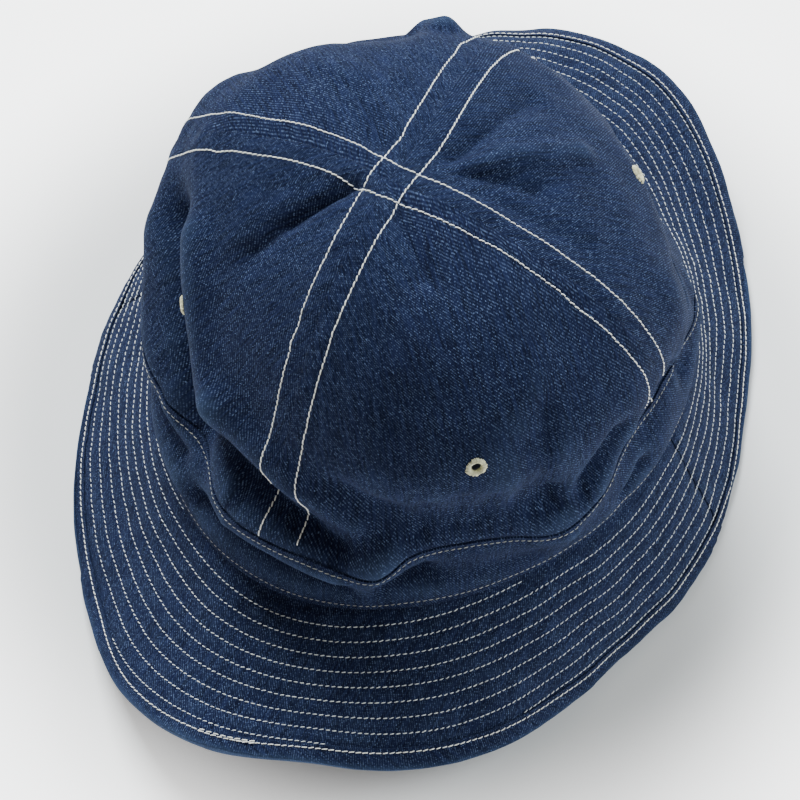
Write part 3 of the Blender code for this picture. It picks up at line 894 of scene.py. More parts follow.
    def find_on_crown(self, plan: Array) -> tuple[Array, Array]:
        """Bearings and climbs whose unfolded points lie at these level positions.

        Args:
            plan: level positions from the top's axis, well above the band.

        Returns:
            The bearing and the climb of each.
        """
        turns = np.arange(0.0, 361.0)
        rays = self.crown_plan(turns, np.full(turns.shape, 0.85))
        angles = np.unwrap(np.arctan2(rays[:, 1], rays[:, 0]))
        wanted = np.arctan2(plan[:, 1], plan[:, 0])
        wanted = angles[0] + np.mod(wanted - angles[0], 2 * math.pi)
        bearing = np.interp(wanted, angles, turns)
        climbs = np.linspace(0.3, LAST_CLIMB, 200)
        climb = np.empty(len(plan))
        for number, (turn, place) in enumerate(zip(bearing, plan)):
            radii = np.linalg.norm(self.crown_plan(np.full(200, turn), climbs), axis=-1)
            climb[number] = np.interp(-np.linalg.norm(place), -radii, climbs)
        for _ in range(6):
            here = self.crown_plan(bearing, climb)
            slope_b = (self.crown_plan(bearing + SMALL_TURN, climb) - here) / SMALL_TURN
            slope_c = (here - self.crown_plan(bearing, climb - SMALL_CLIMB)) / SMALL_CLIMB
            off = plan - here
            area = slope_b[:, 0] * slope_c[:, 1] - slope_b[:, 1] * slope_c[:, 0]
            turn = (off[:, 0] * slope_c[:, 1] - off[:, 1] * slope_c[:, 0]) / area
            rise = (slope_b[:, 0] * off[:, 1] - slope_b[:, 1] * off[:, 0]) / area
            bearing = bearing + np.clip(turn, -20, 20)
            climb = np.clip(climb + np.clip(rise, -0.05, 0.05), 0.2, LAST_CLIMB)
        return bearing, climb


def convexity(points: Array, reach: int) -> Array:
    """How far each point of a grid stands out from its neighbours, in metres.

    Args:
        points: the grid, rows by columns by three.
        reach: how many cells away the neighbours are taken.

    Returns:
        The height over the neighbours along the grid's own normal, positive on a ridge.
    """
    rows = np.arange(points.shape[0])
    columns = np.arange(points.shape[1])
    below, above = (points[np.clip(rows + step, 0, len(rows) - 1)] for step in (-reach, reach))
    right, left = (points[:, np.clip(columns + step, 0, len(columns) - 1)]
                   for step in (-reach, reach))
    normal = unit(np.cross(left - right, above - below))
    return ((points - (below + above + right + left) / 4) * normal).sum(-1)


@dataclass(frozen=True)
class WearAndHighlight:
    """How a cloth is painted lighter on its ridges, partly as wear and partly as a painted
    highlight: from which height over its surroundings, how strongly.
    """

    reach: int
    height: float
    gain: float
    start: float
    most: float = 1.0

    def on(self, points: Array) -> Array:
        """How much painted wear and painted highlight each point of a grid gets."""
        return np.clip(convexity(points, self.reach) / self.height * self.gain - self.start,
                       0, self.most)


def link(name: str, data: bpy.types.ID) -> bpy.types.Object:
    """Make an object of this data and put it in the scene.

    Args:
        name: its name.
        data: a mesh, a curve, a light or a camera.

    Returns:
        The object.
    """
    thing = bpy.data.objects.new(name, data)
    bpy.context.scene.collection.objects.link(thing)
    return thing


def keep(mesh: bpy.types.Mesh, name: str, values: Array) -> None:
    """Keep a number or a vector with each point of a mesh.

    Args:
        mesh: the mesh.
        name: the attribute's name.
        values: a number or a vector for each point.
    """
    kind, column = ("FLOAT", "value") if values.ndim == 1 else ("FLOAT_VECTOR", "vector")
    kept = mesh.attributes.new(name, kind, "POINT")
    kept.data.foreach_set(column, values.astype("f").ravel())


def cloth_object(name: str, points: Array, faces: Array, cloth: Array, wear: Array,
                 material: bpy.types.Material) -> bpy.types.Object:
    """Make a mesh of cloth that keeps its cut coordinates and how much it is painted lighter, as
    wear and as a painted highlight.

    Args:
        name: the piece's name.
        points: its points.
        faces: the four points of each face.
        cloth: the cut cloth's coordinates at each corner of the faces, in metres.
        wear: how much each point is painted lighter, as wear and as a painted highlight.
        material: its finish.

    Returns:
        The piece, linked to the scene.
    """
    mesh = bpy.data.meshes.new(name)
    mesh.from_pydata(points, [], faces)
    uv = mesh.uv_layers.new(name="cloth")
    uv.data.foreach_set("uv", cloth.astype("f").ravel())
    keep(mesh, "wear", wear)
    mesh.materials.append(material)
    return link(name, mesh)


def grid_object(name: str, points: Array, cloth: Array, wear: Array, thickness: float,
                material: bpy.types.Material, hole: tuple[Array, float] | None = None,
                closed: bool = False) -> bpy.types.Object:
    """Make a wall of cloth from a grid of points on its middle layer.

    Args:
        name: the piece's name.
        points: rows by columns by three; columns follow the bearing, rows go up or inward.
        cloth: the cut cloth's own coordinates in metres, rows by columns by two.
        wear: how much each point is painted lighter, as wear and as a painted highlight.
        thickness: of the cloth.
        material: its finish.
        hole: the middle and radius of a hole to leave, or None.
        closed: whether the last column lies on the first and is joined to it.

    Returns:
        The finished piece, linked to the scene.
    """
    rows, columns = points.shape[:2]
    flat = points.reshape(-1, 3).copy()
    number = np.arange(rows * columns).reshape(rows, columns)
    quads = np.stack([number[:-1, :-1], number[:-1, 1:], number[1:, 1:], number[1:, :-1]],
                     -1).reshape(-1, 4)
    if hole is not None:
        middle, radius = hole
        distance = np.linalg.norm(flat - middle, axis=1)
        inside = distance < radius
        quads = quads[~inside[quads].all(1)]
        edge = inside & np.isin(number.ravel(), quads)
        flat[edge] = middle + (flat[edge] - middle) * (radius / distance[edge])[:, None]
    joined = quads
    if closed:
        joined = np.where(quads % columns == columns - 1, quads - columns + 1, quads)
    used, corners = np.unique(joined, return_inverse=True)
    thing = cloth_object(name, flat[used], corners.reshape(-1, 4),
                         cloth.reshape(-1, 2)[quads.ravel()], wear.ravel()[used], material)
    wall = thing.modifiers.new("wall", "SOLIDIFY")
    wall.thickness = thickness
    wall.offset = 0.0
    wall.use_even_offset = False
    bake_modifiers(thing, CLOTH_SHARP)
    return thing


def bake_modifiers(thing: bpy.types.Object, sharp_angle: float) -> None:
    """Turn an object's evaluated shape into its plain mesh, smooth but for sharp edges.

    Args:
        thing: the object.
        sharp_angle: degrees from which an edge stays sharp.
    """
    graph = bpy.context.evaluated_depsgraph_get()
    mesh = bpy.data.meshes.new_from_object(thing.evaluated_get(graph))
    thing.modifiers.clear()
    old = thing.data
    thing.data = mesh
    bpy.data.meshes.remove(old)
    mesh.name = thing.name
    mesh.shade_smooth()
    mesh.set_sharp_from_angle(angle=math.radians(sharp_angle))


def path_object(name: str, lines: Sequence[tuple[Array, Array]]) -> bpy.types.Object:
    """Make a mesh of open lines that keeps, at each point, which way is up off the cloth.

    Args:
        name: the object's name.
        lines: for each line its points and its directions off the cloth.

    Returns:
        The object, linked to the scene.
    """
    points = np.concatenate([line for line, _ in lines])
    ups = np.concatenate([up for _, up in lines])
    edges = []
    start = 0
    for line, _ in lines:
        edges += [(number, number + 1) for number in range(start, start + len(line) - 1)]
        start += len(line)
    mesh = bpy.data.meshes.new(name)
    mesh.from_pydata(points, edges, [])
    keep(mesh, "cloth_up", ups)
    return link(name, mesh)


def declare(piece: bpy.types.Object, nodes: Sequence[str] = ()) -> None:
    """Let a piece ride on the hat and stand for its solids.

    Args:
        piece: the finished piece.
        nodes: the solids that it stands for.
    """
    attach(piece, "root")
    if nodes:
        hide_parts(*nodes)
    LOG.info("%s: %d faces", piece.name, len(piece.data.polygons))


def plug(tree: bpy.types.NodeTree, socket: bpy.types.NodeSocket, value: Any) -> None:
    """Link a socket to another one, or give it a fixed value.

    Args:
        tree: the node tree.
        socket: the input.
        value: a socket or a plain value.
    """
    if isinstance(value, bpy.types.NodeSocket):
        tree.links.new(value, socket)
    else:
        socket.default_value = value


def add_node(tree: bpy.types.NodeTree, kind: str, settings: dict[str, Any],
             inputs: dict[Any, Any]) -> bpy.types.Node:
    """Add a node to a tree.

    Args:
        tree: the node tree.
        kind: the node's type.
        settings: its properties, set first.
        inputs: values or links of its sockets, by name or number.

    Returns:
        The node.
    """
    node = tree.nodes.new(kind)
    for name, value in settings.items():
        setattr(node, name, value)
    for name, value in inputs.items():
        plug(tree, node.inputs[name], value)
    return node


@dataclass(frozen=True)
class Sewing:
    """A kind of stitching: its pitch and thread, in metres."""

    pitch: float = 0.0021
    length: float = 0.00178
    thread: float = 0.00042
    sink: float = 0.00016
    slant: float = 0.10
    sides: int = 5
    steps: int = 4
    seed: int = 1


CROWN_SEWING = Sewing(length=0.00180, thread=0.00046, sink=0.00014, slant=0.16, seed=1)
JOINT_SEWING = Sewing(pitch=0.0027, length=0.0017, thread=0.00030, slant=0.2, seed=2)
BAND_SEWING = Sewing(length=0.00150, thread=0.00030, slant=0.14, seed=3)
BRIM_SEWING = Sewing(length=0.00160, thread=0.00037, sink=0.00018, slant=0.18, seed=5)
UNDER_SEWING = Sewing(length=0.00160, thread=0.00037, slant=0.18, sides=4, steps=2, seed=6)
BINDING_SEWING = Sewing(pitch=0.0022, length=0.00170, thread=0.00038, slant=0.14, seed=8)


class StitchNodes:
    """Geometry nodes that lay stitches along lines on cloth."""

    def __init__(self) -> None:
        """Build the node tree once for every seam."""
        self.tree = bpy.data.node_groups.new("stitches along lines", "GeometryNodeTree")
        self.sockets: dict[str, str] = {}
        self._declare("Lines", "NodeSocketGeometry", "INPUT")
        for name in ("Pitch", "Length", "Thread", "Sink", "Slant"):
            self._declare(name, "NodeSocketFloat", "INPUT")
        for name in ("Sides", "Steps", "Seed"):
            self._declare(name, "NodeSocketInt", "INPUT")
        self._declare("Finish", "NodeSocketMaterial", "INPUT")
        self._declare("Stitches", "NodeSocketGeometry", "OUTPUT")
        self._build()

    def _declare(self, name: str, kind: str, side: str) -> None:
        """Add a named input or output."""
        socket = self.tree.interface.new_socket(name, in_out=side, socket_type=kind)
        self.sockets[name] = socket.identifier

    def _node(self, kind: str, settings: dict[str, Any] | None = None,
              **inputs: Any) -> bpy.types.NodeSocket:
        """Add a node, and hand back its first output."""
        spaced = {name.replace("_", " "): value for name, value in inputs.items()}
        return add_node(self.tree, kind, settings or {}, spaced).outputs[0]

    def _scaled(self, value: bpy.types.NodeSocket, factor: float) -> bpy.types.NodeSocket:
        """A value times a fixed factor."""
        return add_node(self.tree, "ShaderNodeMath", {"operation": "MULTIPLY"},
                        {0: value, 1: factor}).outputs[0]

    def _chance(self, seed: Any, low: Any, high: Any) -> bpy.types.NodeSocket:
        """A chance value between two limits, another one for each point.

        Args:
            seed: of the chance.
            low: the least.
            high: the most.

        Returns:
            The value's socket.
        """
        node = add_node(self.tree, "FunctionNodeRandomValue", {"data_type": "FLOAT"},
                        {"Seed": seed})
        limits = [socket for socket in node.inputs if socket.name in ("Min", "Max")
                  and socket.type == "VALUE" and socket.enabled]
        for socket, value in zip(limits, (low, high)):
            plug(self.tree, socket, value)
        return next(socket for socket in node.outputs if socket.enabled)

    def _build(self) -> None:
        """Lay out the nodes: line, even points, one bent stitch at each, its finish."""
        node, given = self._node, self.tree.nodes.new("NodeGroupInput").outputs
        curve = node("GeometryNodeMeshToCurve", Mesh=given["Lines"])
        even = node("GeometryNodeResampleCurve", {"mode": "LENGTH"}, Curve=curve,
                    Length=given["Pitch"])
        up = add_node(self.tree, "GeometryNodeInputNamedAttribute",
                      {"data_type": "FLOAT_VECTOR"}, {"Name": "cloth_up"})
        along = node("FunctionNodeAlignRotationToVector", {"axis": "X"},
                     Vector=node("GeometryNodeInputTangent"))
        standing = node("FunctionNodeAlignRotationToVector", {"axis": "Z", "pivot_axis": "X"},
                        Rotation=along, Vector=up.outputs["Attribute"])
        lean = self._chance(given["Seed"], self._scaled(given["Slant"], LEAN_RANGE[0]),
                            self._scaled(given["Slant"], LEAN_RANGE[1]))
        turned = node("FunctionNodeRotateRotation", {"rotation_space": "LOCAL"},
                      Rotation=standing, Rotate_By=node("ShaderNodeCombineXYZ", Z=lean))
        buried = self._scaled(given["Sink"], -1.0)
        start = node("ShaderNodeCombineXYZ", X=self._scaled(given["Length"], -0.5), Z=buried)
        end = node("ShaderNodeCombineXYZ", X=self._scaled(given["Length"], 0.5), Z=buried)
        crest = node("ShaderNodeCombineXYZ", Z=given["Thread"])
        arch = node("GeometryNodeCurveQuadraticBezier", Resolution=given["Steps"], Start=start,
                    Middle=crest, End=end)
        ring = node("GeometryNodeCurvePrimitiveCircle", Resolution=given["Sides"],
                    Radius=self._scaled(given["Thread"], 0.5))
        stitch = node("GeometryNodeCurveToMesh", Curve=arch, Profile_Curve=ring, Fill_Caps=True)
        smooth = node("GeometryNodeSetShadeSmooth", Geometry=stitch)
        placed = node("GeometryNodeInstanceOnPoints", Points=even, Instance=smooth,
                      Rotation=turned)
        stored = node("GeometryNodeStoreNamedAttribute",
                      {"data_type": "FLOAT", "domain": "INSTANCE"}, Geometry=placed,
                      Name="shade", Value=self._chance(SHADE_SEED, 0.0, 1.0))
        real = node("GeometryNodeRealizeInstances", Geometry=stored)
        finish = node("GeometryNodeSetMaterial", Geometry=real, Material=given["Finish"])
        add_node(self.tree, "NodeGroupOutput", {}, {"Stitches": finish})

    def sew(self, name: str, lines: Sequence[tuple[Array, Array]], sewing: Sewing,
            material: bpy.types.Material) -> None:
        """Args:
            name: the piece's name.
            lines: for each row its points and its directions off the cloth.
            sewing: the kind of stitching.
            material: the thread's finish.
        """
        thing = path_object(name, lines)
        nodes = thing.modifiers.new("stitches", "NODES")
        nodes.node_group = self.tree
        for key, value in asdict(sewing).items():
            nodes[self.sockets[key.capitalize()]] = value
        nodes[self.sockets["Finish"]] = material
        bake_modifiers(thing, STITCH_SHARP)
        declare(thing)


def operator(operation: str, reflected: bool = False) -> Callable[["Shade", Any], "Shade"]:
    """Make the method that stands for one sign of arithmetic.

    Args:
        operation: of the Math node.
        reflected: whether the shade stands to the right of the sign.

    Returns:
        The method.
    """
    def method(self: "Shade", other: Any) -> "Shade":
        """Join the two sides of the sign."""
        sides = (other, self) if reflected else (self, other)
        return self.paint.math(operation, *sides)

    return method


class Shade:
    """A shader socket that takes part in arithmetic. Its remainder is never negative."""

    def __init__(self, paint: "Paint", socket: bpy.types.NodeSocket) -> None:
        """Wrap a socket of this paint."""
        self.paint = paint
        self.socket = socket

    __add__ = operator("ADD")
    __radd__ = operator("ADD", reflected=True)
    __sub__ = operator("SUBTRACT")
    __rsub__ = operator("SUBTRACT", reflected=True)
    __mul__ = operator("MULTIPLY")
    __rmul__ = operator("MULTIPLY", reflected=True)
    __truediv__ = operator("DIVIDE")
    __rtruediv__ = operator("DIVIDE", reflected=True)
    __pow__ = operator("POWER")
    __mod__ = operator("FLOORED_MODULO")
    __lt__ = operator("LESS_THAN")
    __gt__ = operator("GREATER_THAN")


class Paint:
    """A material's node tree."""

    def __init__(self, name: str, roughness: float, sheen: float = 0.0) -> None:
        """Start a material with one Principled shader.

        Args:
            name: the material's name.
            roughness: of its surface.
            sheen: weight of its sheen.
        """
        self.material = bpy.data.materials.new(name)
        self.material.use_nodes = True
        self.tree = self.material.node_tree
        self.shader = self.tree.nodes["Principled BSDF"]
        self.shader.inputs["Roughness"].default_value = roughness
        self.shader.inputs["Sheen Weight"].default_value = sheen
        self.shader.inputs["Specular IOR Level"].default_value = SPECULAR

    def node(self, kind: str, settings: dict[str, Any] | None = None,
             inputs: dict[Any, Any] | None = None, output: Any = 0) -> Shade:
        """Add a node.

        Args:
            kind: the node's type.
            settings: its properties, set first.
            inputs: values or links of its sockets, by name or number.
            output: which output to hand back, by name or number.

        Returns:
            That output.
        """
        links = {name: value.socket if isinstance(value, Shade) else value
                 for name, value in (inputs or {}).items()}
        return Shade(self, add_node(self.tree, kind, settings or {}, links).outputs[output])

    def math(self, operation: str, *values: Any) -> Shade:
        """Add one Math node."""
        return self.node("ShaderNodeMath", {"operation": operation}, dict(enumerate(values)))

    def noise(self, place: Shade, scale: float, detail: float, space: str = "2D") -> Shade:
        """A soft chance pattern."""
        return self.node("ShaderNodeTexNoise", {"noise_dimensions": space},
                         {"Vector": place, "Scale": scale, "Detail": detail})

    def streaks(self, place: Shade, scale: tuple[float, float, float], detail: float) -> Shade:
        """A soft chance pattern, drawn out one way."""
        drawn_out = self.node("ShaderNodeMapping", inputs={"Vector": place, "Scale": scale})
        return self.noise(drawn_out, 1.0, detail)

    def attribute(self, name: str) -> Shade:
        """A number kept with the mesh."""
        return self.node("ShaderNodeAttribute", {"attribute_name": name}, output="Fac")

    def relief(self, height: Shade, strength: float, distance: float) -> None:
        """Let a height show as small shading on the surface."""
        self.feed("Normal", self.node("ShaderNodeBump", inputs={
            "Strength": strength, "Distance": distance, "Height": height}))

    def mix(self, share: Shade, first: Any, second: Any) -> Shade:
        """Mix two colours.

        Args:
            share: of the second colour, from 0 to 1.
            first: a colour or a shade.
            second: a colour or a shade.

        Returns:
            The mixed colour.
        """
        made = add_node(self.tree, "ShaderNodeMix", {"data_type": "RGBA"}, {0: share.socket})
        colours = [socket for socket in made.inputs if socket.type == "RGBA"]
        for socket, value in zip(colours, (first, second)):
            plug(self.tree, socket,
                 value.socket if isinstance(value, Shade) else (*value, 1.0))
        return Shade(self, next(socket for socket in made.outputs if socket.type == "RGBA"))

    def clamp(self, value: Shade) -> Shade:
        """Keep a value from 0 to 1."""
        return self.node("ShaderNodeClamp", inputs={0: value})

    def feed(self, socket: str, value: Shade) -> None:
        """Link a value to the shader."""
        self.tree.links.new(value.socket, self.shader.inputs[socket])


@dataclass(frozen=True)
class DenimFinish:
    """Indigo twill: its colours, its yarns in metres, and how strongly its ridges are painted
    lighter, as wear and as a painted highlight.
    """

    name: str
    deep: Colour = (0.0048, 0.0068, 0.0200)
    blue: Colour = (0.0114, 0.0166, 0.0500)
    weft: Colour = (0.098, 0.142, 0.250)
    # the lighter blue of worn ridges, which also serves as a painted highlight where ridges
    # catch the light
    worn: Colour = (0.0450, 0.0740, 0.1380)
    warp_pitch: float = 0.00032
    weft_pitch: float = 0.00038
    twill: int = 3
    speck: float = 0.62
    # how strongly ridges are painted lighter, as wear and as a painted highlight
    wear: float = 0.75
    roughness: float = 0.92
    sheen: float = 0.015
    sheen_roughness: float = 0.45
    sheen_tint: Colour = (0.55, 0.68, 0.85)
    bump: float = 0.35
    bump_depth: float = 0.00022
    sway_scale: float = 160.0
    cloud_scale: float = 70.0
    grain_scale: float = 1300.0
    streak_scale: tuple[float, float, float] = (1500.0, 95.0, 1.0)
    slub_scale: tuple[float, float, float] = (90.0, 1300.0, 1.0)

    def make(self) -> bpy.types.Material:
        """Build the material.

        Returns:
            The material.
        """
        paint = Paint(self.name, self.roughness, self.sheen)
        paint.shader.inputs["Sheen Roughness"].default_value = self.sheen_roughness
        paint.shader.inputs["Sheen Tint"].default_value = (*self.sheen_tint, 1.0)
        cloth = paint.node("ShaderNodeUVMap", {"uv_map": "cloth"})
        across = paint.node("ShaderNodeSeparateXYZ", inputs={0: cloth}, output=0)
        along = paint.node("ShaderNodeSeparateXYZ", inputs={0: cloth}, output=1)
        sway = paint.noise(cloth, self.sway_scale, 2.0)
        warp = across / self.warp_pitch + sway * 1.6
        weft = along / self.weft_pitch + sway * 1.2
        warp_row, weft_row = paint.math("FLOOR", warp), paint.math("FLOOR", weft)
        phase = (warp_row + weft_row) % float(self.twill)
        over = phase < 0.5
        cell = paint.node("ShaderNodeCombineXYZ", inputs={0: warp_row, 1: weft_row})
        chance = paint.node("ShaderNodeTexWhiteNoise", {"noise_dimensions": "2D"},
                            {"Vector": cell})
        streak = paint.streaks(cloth, self.streak_scale, 2.0)
        slub = paint.streaks(cloth, self.slub_scale, 1.0)
        cloud = paint.noise(cloth, self.cloud_scale, 3.0)
        grain = paint.noise(cloth, self.grain_scale, 1.0)
        wear = paint.attribute("wear")
        body = paint.mix(paint.clamp((streak - 0.34) * 2.6), self.deep, self.blue)
        specks = over * (chance ** 1.4) * (0.35 + 1.1 * slub) + (0.996 < chance) * 0.8
        specks = specks * (3.4 * grain - 0.7) * (0.55 + 0.9 * cloud)
        specks = paint.clamp(specks * self.speck)
        twilled = paint.mix(specks, body, self.weft)
        # painted wear and painted highlight: the cloth is mixed towards the lighter blue where
        # the mesh's attribute marks a ridge
        faded_and_highlighted = paint.clamp(wear * self.wear * (0.4 + 1.2 * cloud))
        paint.feed("Base Color", paint.mix(faded_and_highlighted, twilled, self.worn))
        bulge = paint.math("PINGPONG", warp, 0.5)
        paint.relief(bulge * (1.0 - over * 0.6) + chance * 0.25, self.bump, self.bump_depth)
        return paint.material


@dataclass(frozen=True)
class ThreadFinish:
    """Cotton sewing thread."""

    name: str
    colour: Colour
    shadow: Colour
    roughness: float = 0.75
    sheen: float = 0.1
    fuzz_scale: float = 2600.0
    bump: float = 0.5
    bump_depth: float = 0.00015

    def make(self) -> bpy.types.Material:
        """Build the material.

        Returns:
            The material.
        """
        paint = Paint(self.name, self.roughness, self.sheen)
        place = paint.node("ShaderNodeTexCoord", output="Object")
        fuzz = paint.noise(place, self.fuzz_scale, 2.0, "3D")
        tone = paint.clamp(paint.attribute("shade") * 0.55 + fuzz * 0.5)
        paint.feed("Base Color", paint.mix(tone, self.shadow, self.colour))
        paint.relief(fuzz, self.bump, self.bump_depth)
        return paint.material


@dataclass
class Sewn:
    """What every sewn piece needs: the form, the stitching, its cloth and its thread."""

    form: HatForm
    stitches: StitchNodes
    denim: bpy.types.Material
    thread: bpy.types.Material


@dataclass
class Crown(Sewn):
    """The four gores and their felled seams."""

    blue_thread: bpy.types.Material
    columns: int = 140
    rows: int = 150
    edge_crowding: float = 0.42
    foot_crowding: float = 1.06
    tuck_range: tuple[float, float] = (0.0001, 0.0014)
    # ridges of the gores are painted lighter: partly wear, partly a painted highlight where they
    # catch the light
    wear: WearAndHighlight = WearAndHighlight(reach=6, height=0.00608, gain=1.4, start=0.10, most=0.7)
    hole_margin: float = 0.0010
    row_start: float = 0.010
    row_step: float = 0.0008
    blend_width: float = 0.07
    flat_width: float = 0.150
    flat_height: float = 0.152
    flat_area: float = 0.0132

    def build(self) -> None:
        """Build every piece of the crown."""
        for gore in GORES:
            self.make_gore(gore)
        self.make_seam_rows()

    def make_gore(self, gore: Gore) -> None:
        """One quarter of the crown, with the eyelet's hole.

        Args:
            gore: the gore.
        """
        share = np.linspace(0, 1, self.columns)
        crowd = self.edge_crowding * np.sin(2 * math.pi * share) / (2 * math.pi)
        share = share - crowd
        bearing = gore.right_bearing + (gore.left_bearing - gore.right_bearing) * share
        turn = self.form.turned(bearing, self.form.band_climb(bearing))
        seam = self.form.band_climb(bearing + turn)
        foot = seam - SEAM_TUCK / self.flat_height
        climb_share = np.linspace(0, 1, self.rows)[:, None] ** self.foot_crowding
        climb = foot + (POLE_CLIMB - foot) * climb_share
        bearing = bearing + self.form.turned(bearing, climb)
        arc = stride(self.form.crown_smooth, bearing, climb)
        gap = SMALL_TURN * SEAM_GAP / 2 / np.maximum(arc, 1e-7)
        clear = bearing + gap * (1 - 2 * share)
        points = self.form.crown(clear, climb)
        behind = 1 - smooth_step((climb - seam) * self.flat_height, *self.tuck_range)
        points -= self.form.crown_up(clear, climb) * (behind * SEAM_STEP)[..., None]
        across = np.radians(bearing - gore.middle) * np.linalg.norm(
            self.form.crown_plan(bearing, climb), axis=-1)
        cloth = np.stack([across, climb * self.flat_height], -1)
        centre = self.form.crown(np.array([gore.middle]), np.array([EYELET_CLIMB]))[0]
        piece = grid_object(f"gore_{gore.place}_cloth", points, cloth, self.wear.on(points),
                            CLOTH, self.denim, (centre, EYELET_HOLE / 2 + self.hole_margin))
        declare(piece, (f"crown_gore_{gore.place}",))

    def row_on_wall(self, seam: float, side: int) -> tuple[Array, Array]:
        """Bearings and climbs of a row beside a seam, from the band seam up to the dome.

        Args:
            seam: the seam's bearing.
            side: -1 or 1 for a row on its right or left, 0 for the seam itself.

        Returns:
            The bearing and the climb of each point.
        """
        climb = np.linspace(0, 1, 160)
        foot = float(self.form.band_climb(np.array([seam]))[0]) + self.row_start
        climb = foot + (JOINING_CLIMB - JOINING_GAP - foot) * climb
        seams = np.full(climb.shape, seam)
        arc = stride(self.form.crown_smooth, seams, climb)
        return seams + side * self.form.seam_half / arc * SMALL_TURN, climb

    def row_over_top(self, front: float, back: float, side: int) -> tuple[Array, Array]:
        """Bearings and climbs of a row from one seam over the top to the seam opposite.

        Args:
            front: bearing of the first seam.
            back: bearing of the seam opposite.
            side: -1 or 1 for a row beside the seam, 0 for the seam itself.

        Returns:
            The bearing and the climb of each point.
        """
        climb = np.linspace(JOINING_CLIMB + JOINING_GAP, LAST_CLIMB, 120)
        rise = self.form.crown_plan(np.full(climb.shape, front), climb)
        fall = self.form.crown_plan(np.full(climb.shape, back), climb)[::-1]
        line = np.concatenate([rise, fall])
        length = np.concatenate([[0], np.cumsum(np.linalg.norm(np.diff(line, axis=0),
                                                               axis=1))])
        even = np.arange(0, length[-1], self.row_step)
        line = np.stack([round_off(np.interp(even, length, line[:, axis]), 7)
                         for axis in (0, 1)], -1)
        run = unit(np.gradient(line, axis=0))
        beside = np.stack([-run[:, 1], run[:, 0]], -1) * side
        return self.form.find_on_crown(line + beside * self.form.seam_half)

    def make_seam_rows(self) -> None:
        """The white rows on both sides of the crossing seams, and the blue one between."""
        form = self.form
        rows, joints = [], []
        for front, back in ((270.0, 90.0), (180.0, 0.0)):
            for side in (-1, 0, 1):
                up_b, up_c = self.row_on_wall(front, -side)
                top_b, top_c = self.row_over_top(front, back, side)
                down_b, down_c = self.row_on_wall(back, side)
                bearing = np.concatenate([up_b, top_b, down_b[::-1]])
                bearing = np.unwrap(bearing, period=360)
                climb = np.concatenate([up_c, top_c, down_c[::-1]])
                bearing = bearing + form.turned(bearing, climb)
                lines = rows if side else joints
                lines.append(self.on_cloth(*self.fill_in(bearing, climb)))
        self.stitches.sew("crown_seam_stitches", rows, CROWN_SEWING, self.thread)
        self.stitches.sew("crown_joint_stitches", joints, JOINT_SEWING, self.blue_thread)

    def fill_in(self, bearing: Array, climb: Array) -> tuple[Array, Array]:
        """Add points between the points of a path, so that it keeps to the cloth.

        Args:
            bearing: degrees round the hat.
            climb: climbs up the wall.

        Returns:
            The bearing and the climb of each point.
        """
        steps = np.arange(len(climb))
        fine = np.linspace(0, len(climb) - 1, 4 * len(climb))
        bearing = np.interp(fine, steps, bearing)
        climb = np.interp(fine, steps, climb)
        share = bump_of(climb - JOINING_CLIMB, self.blend_width)
        return bearing + (round_off(bearing, 60) - bearing) * share, climb

    def on_cloth(self, bearing: Array, climb: Array) -> tuple[Array, Array]:
        """Points on the crown's outer face, and the directions off it."""
        up = self.form.crown_up(bearing, climb)
        return self.form.crown(bearing, climb) + up * (CLOTH / 2), up


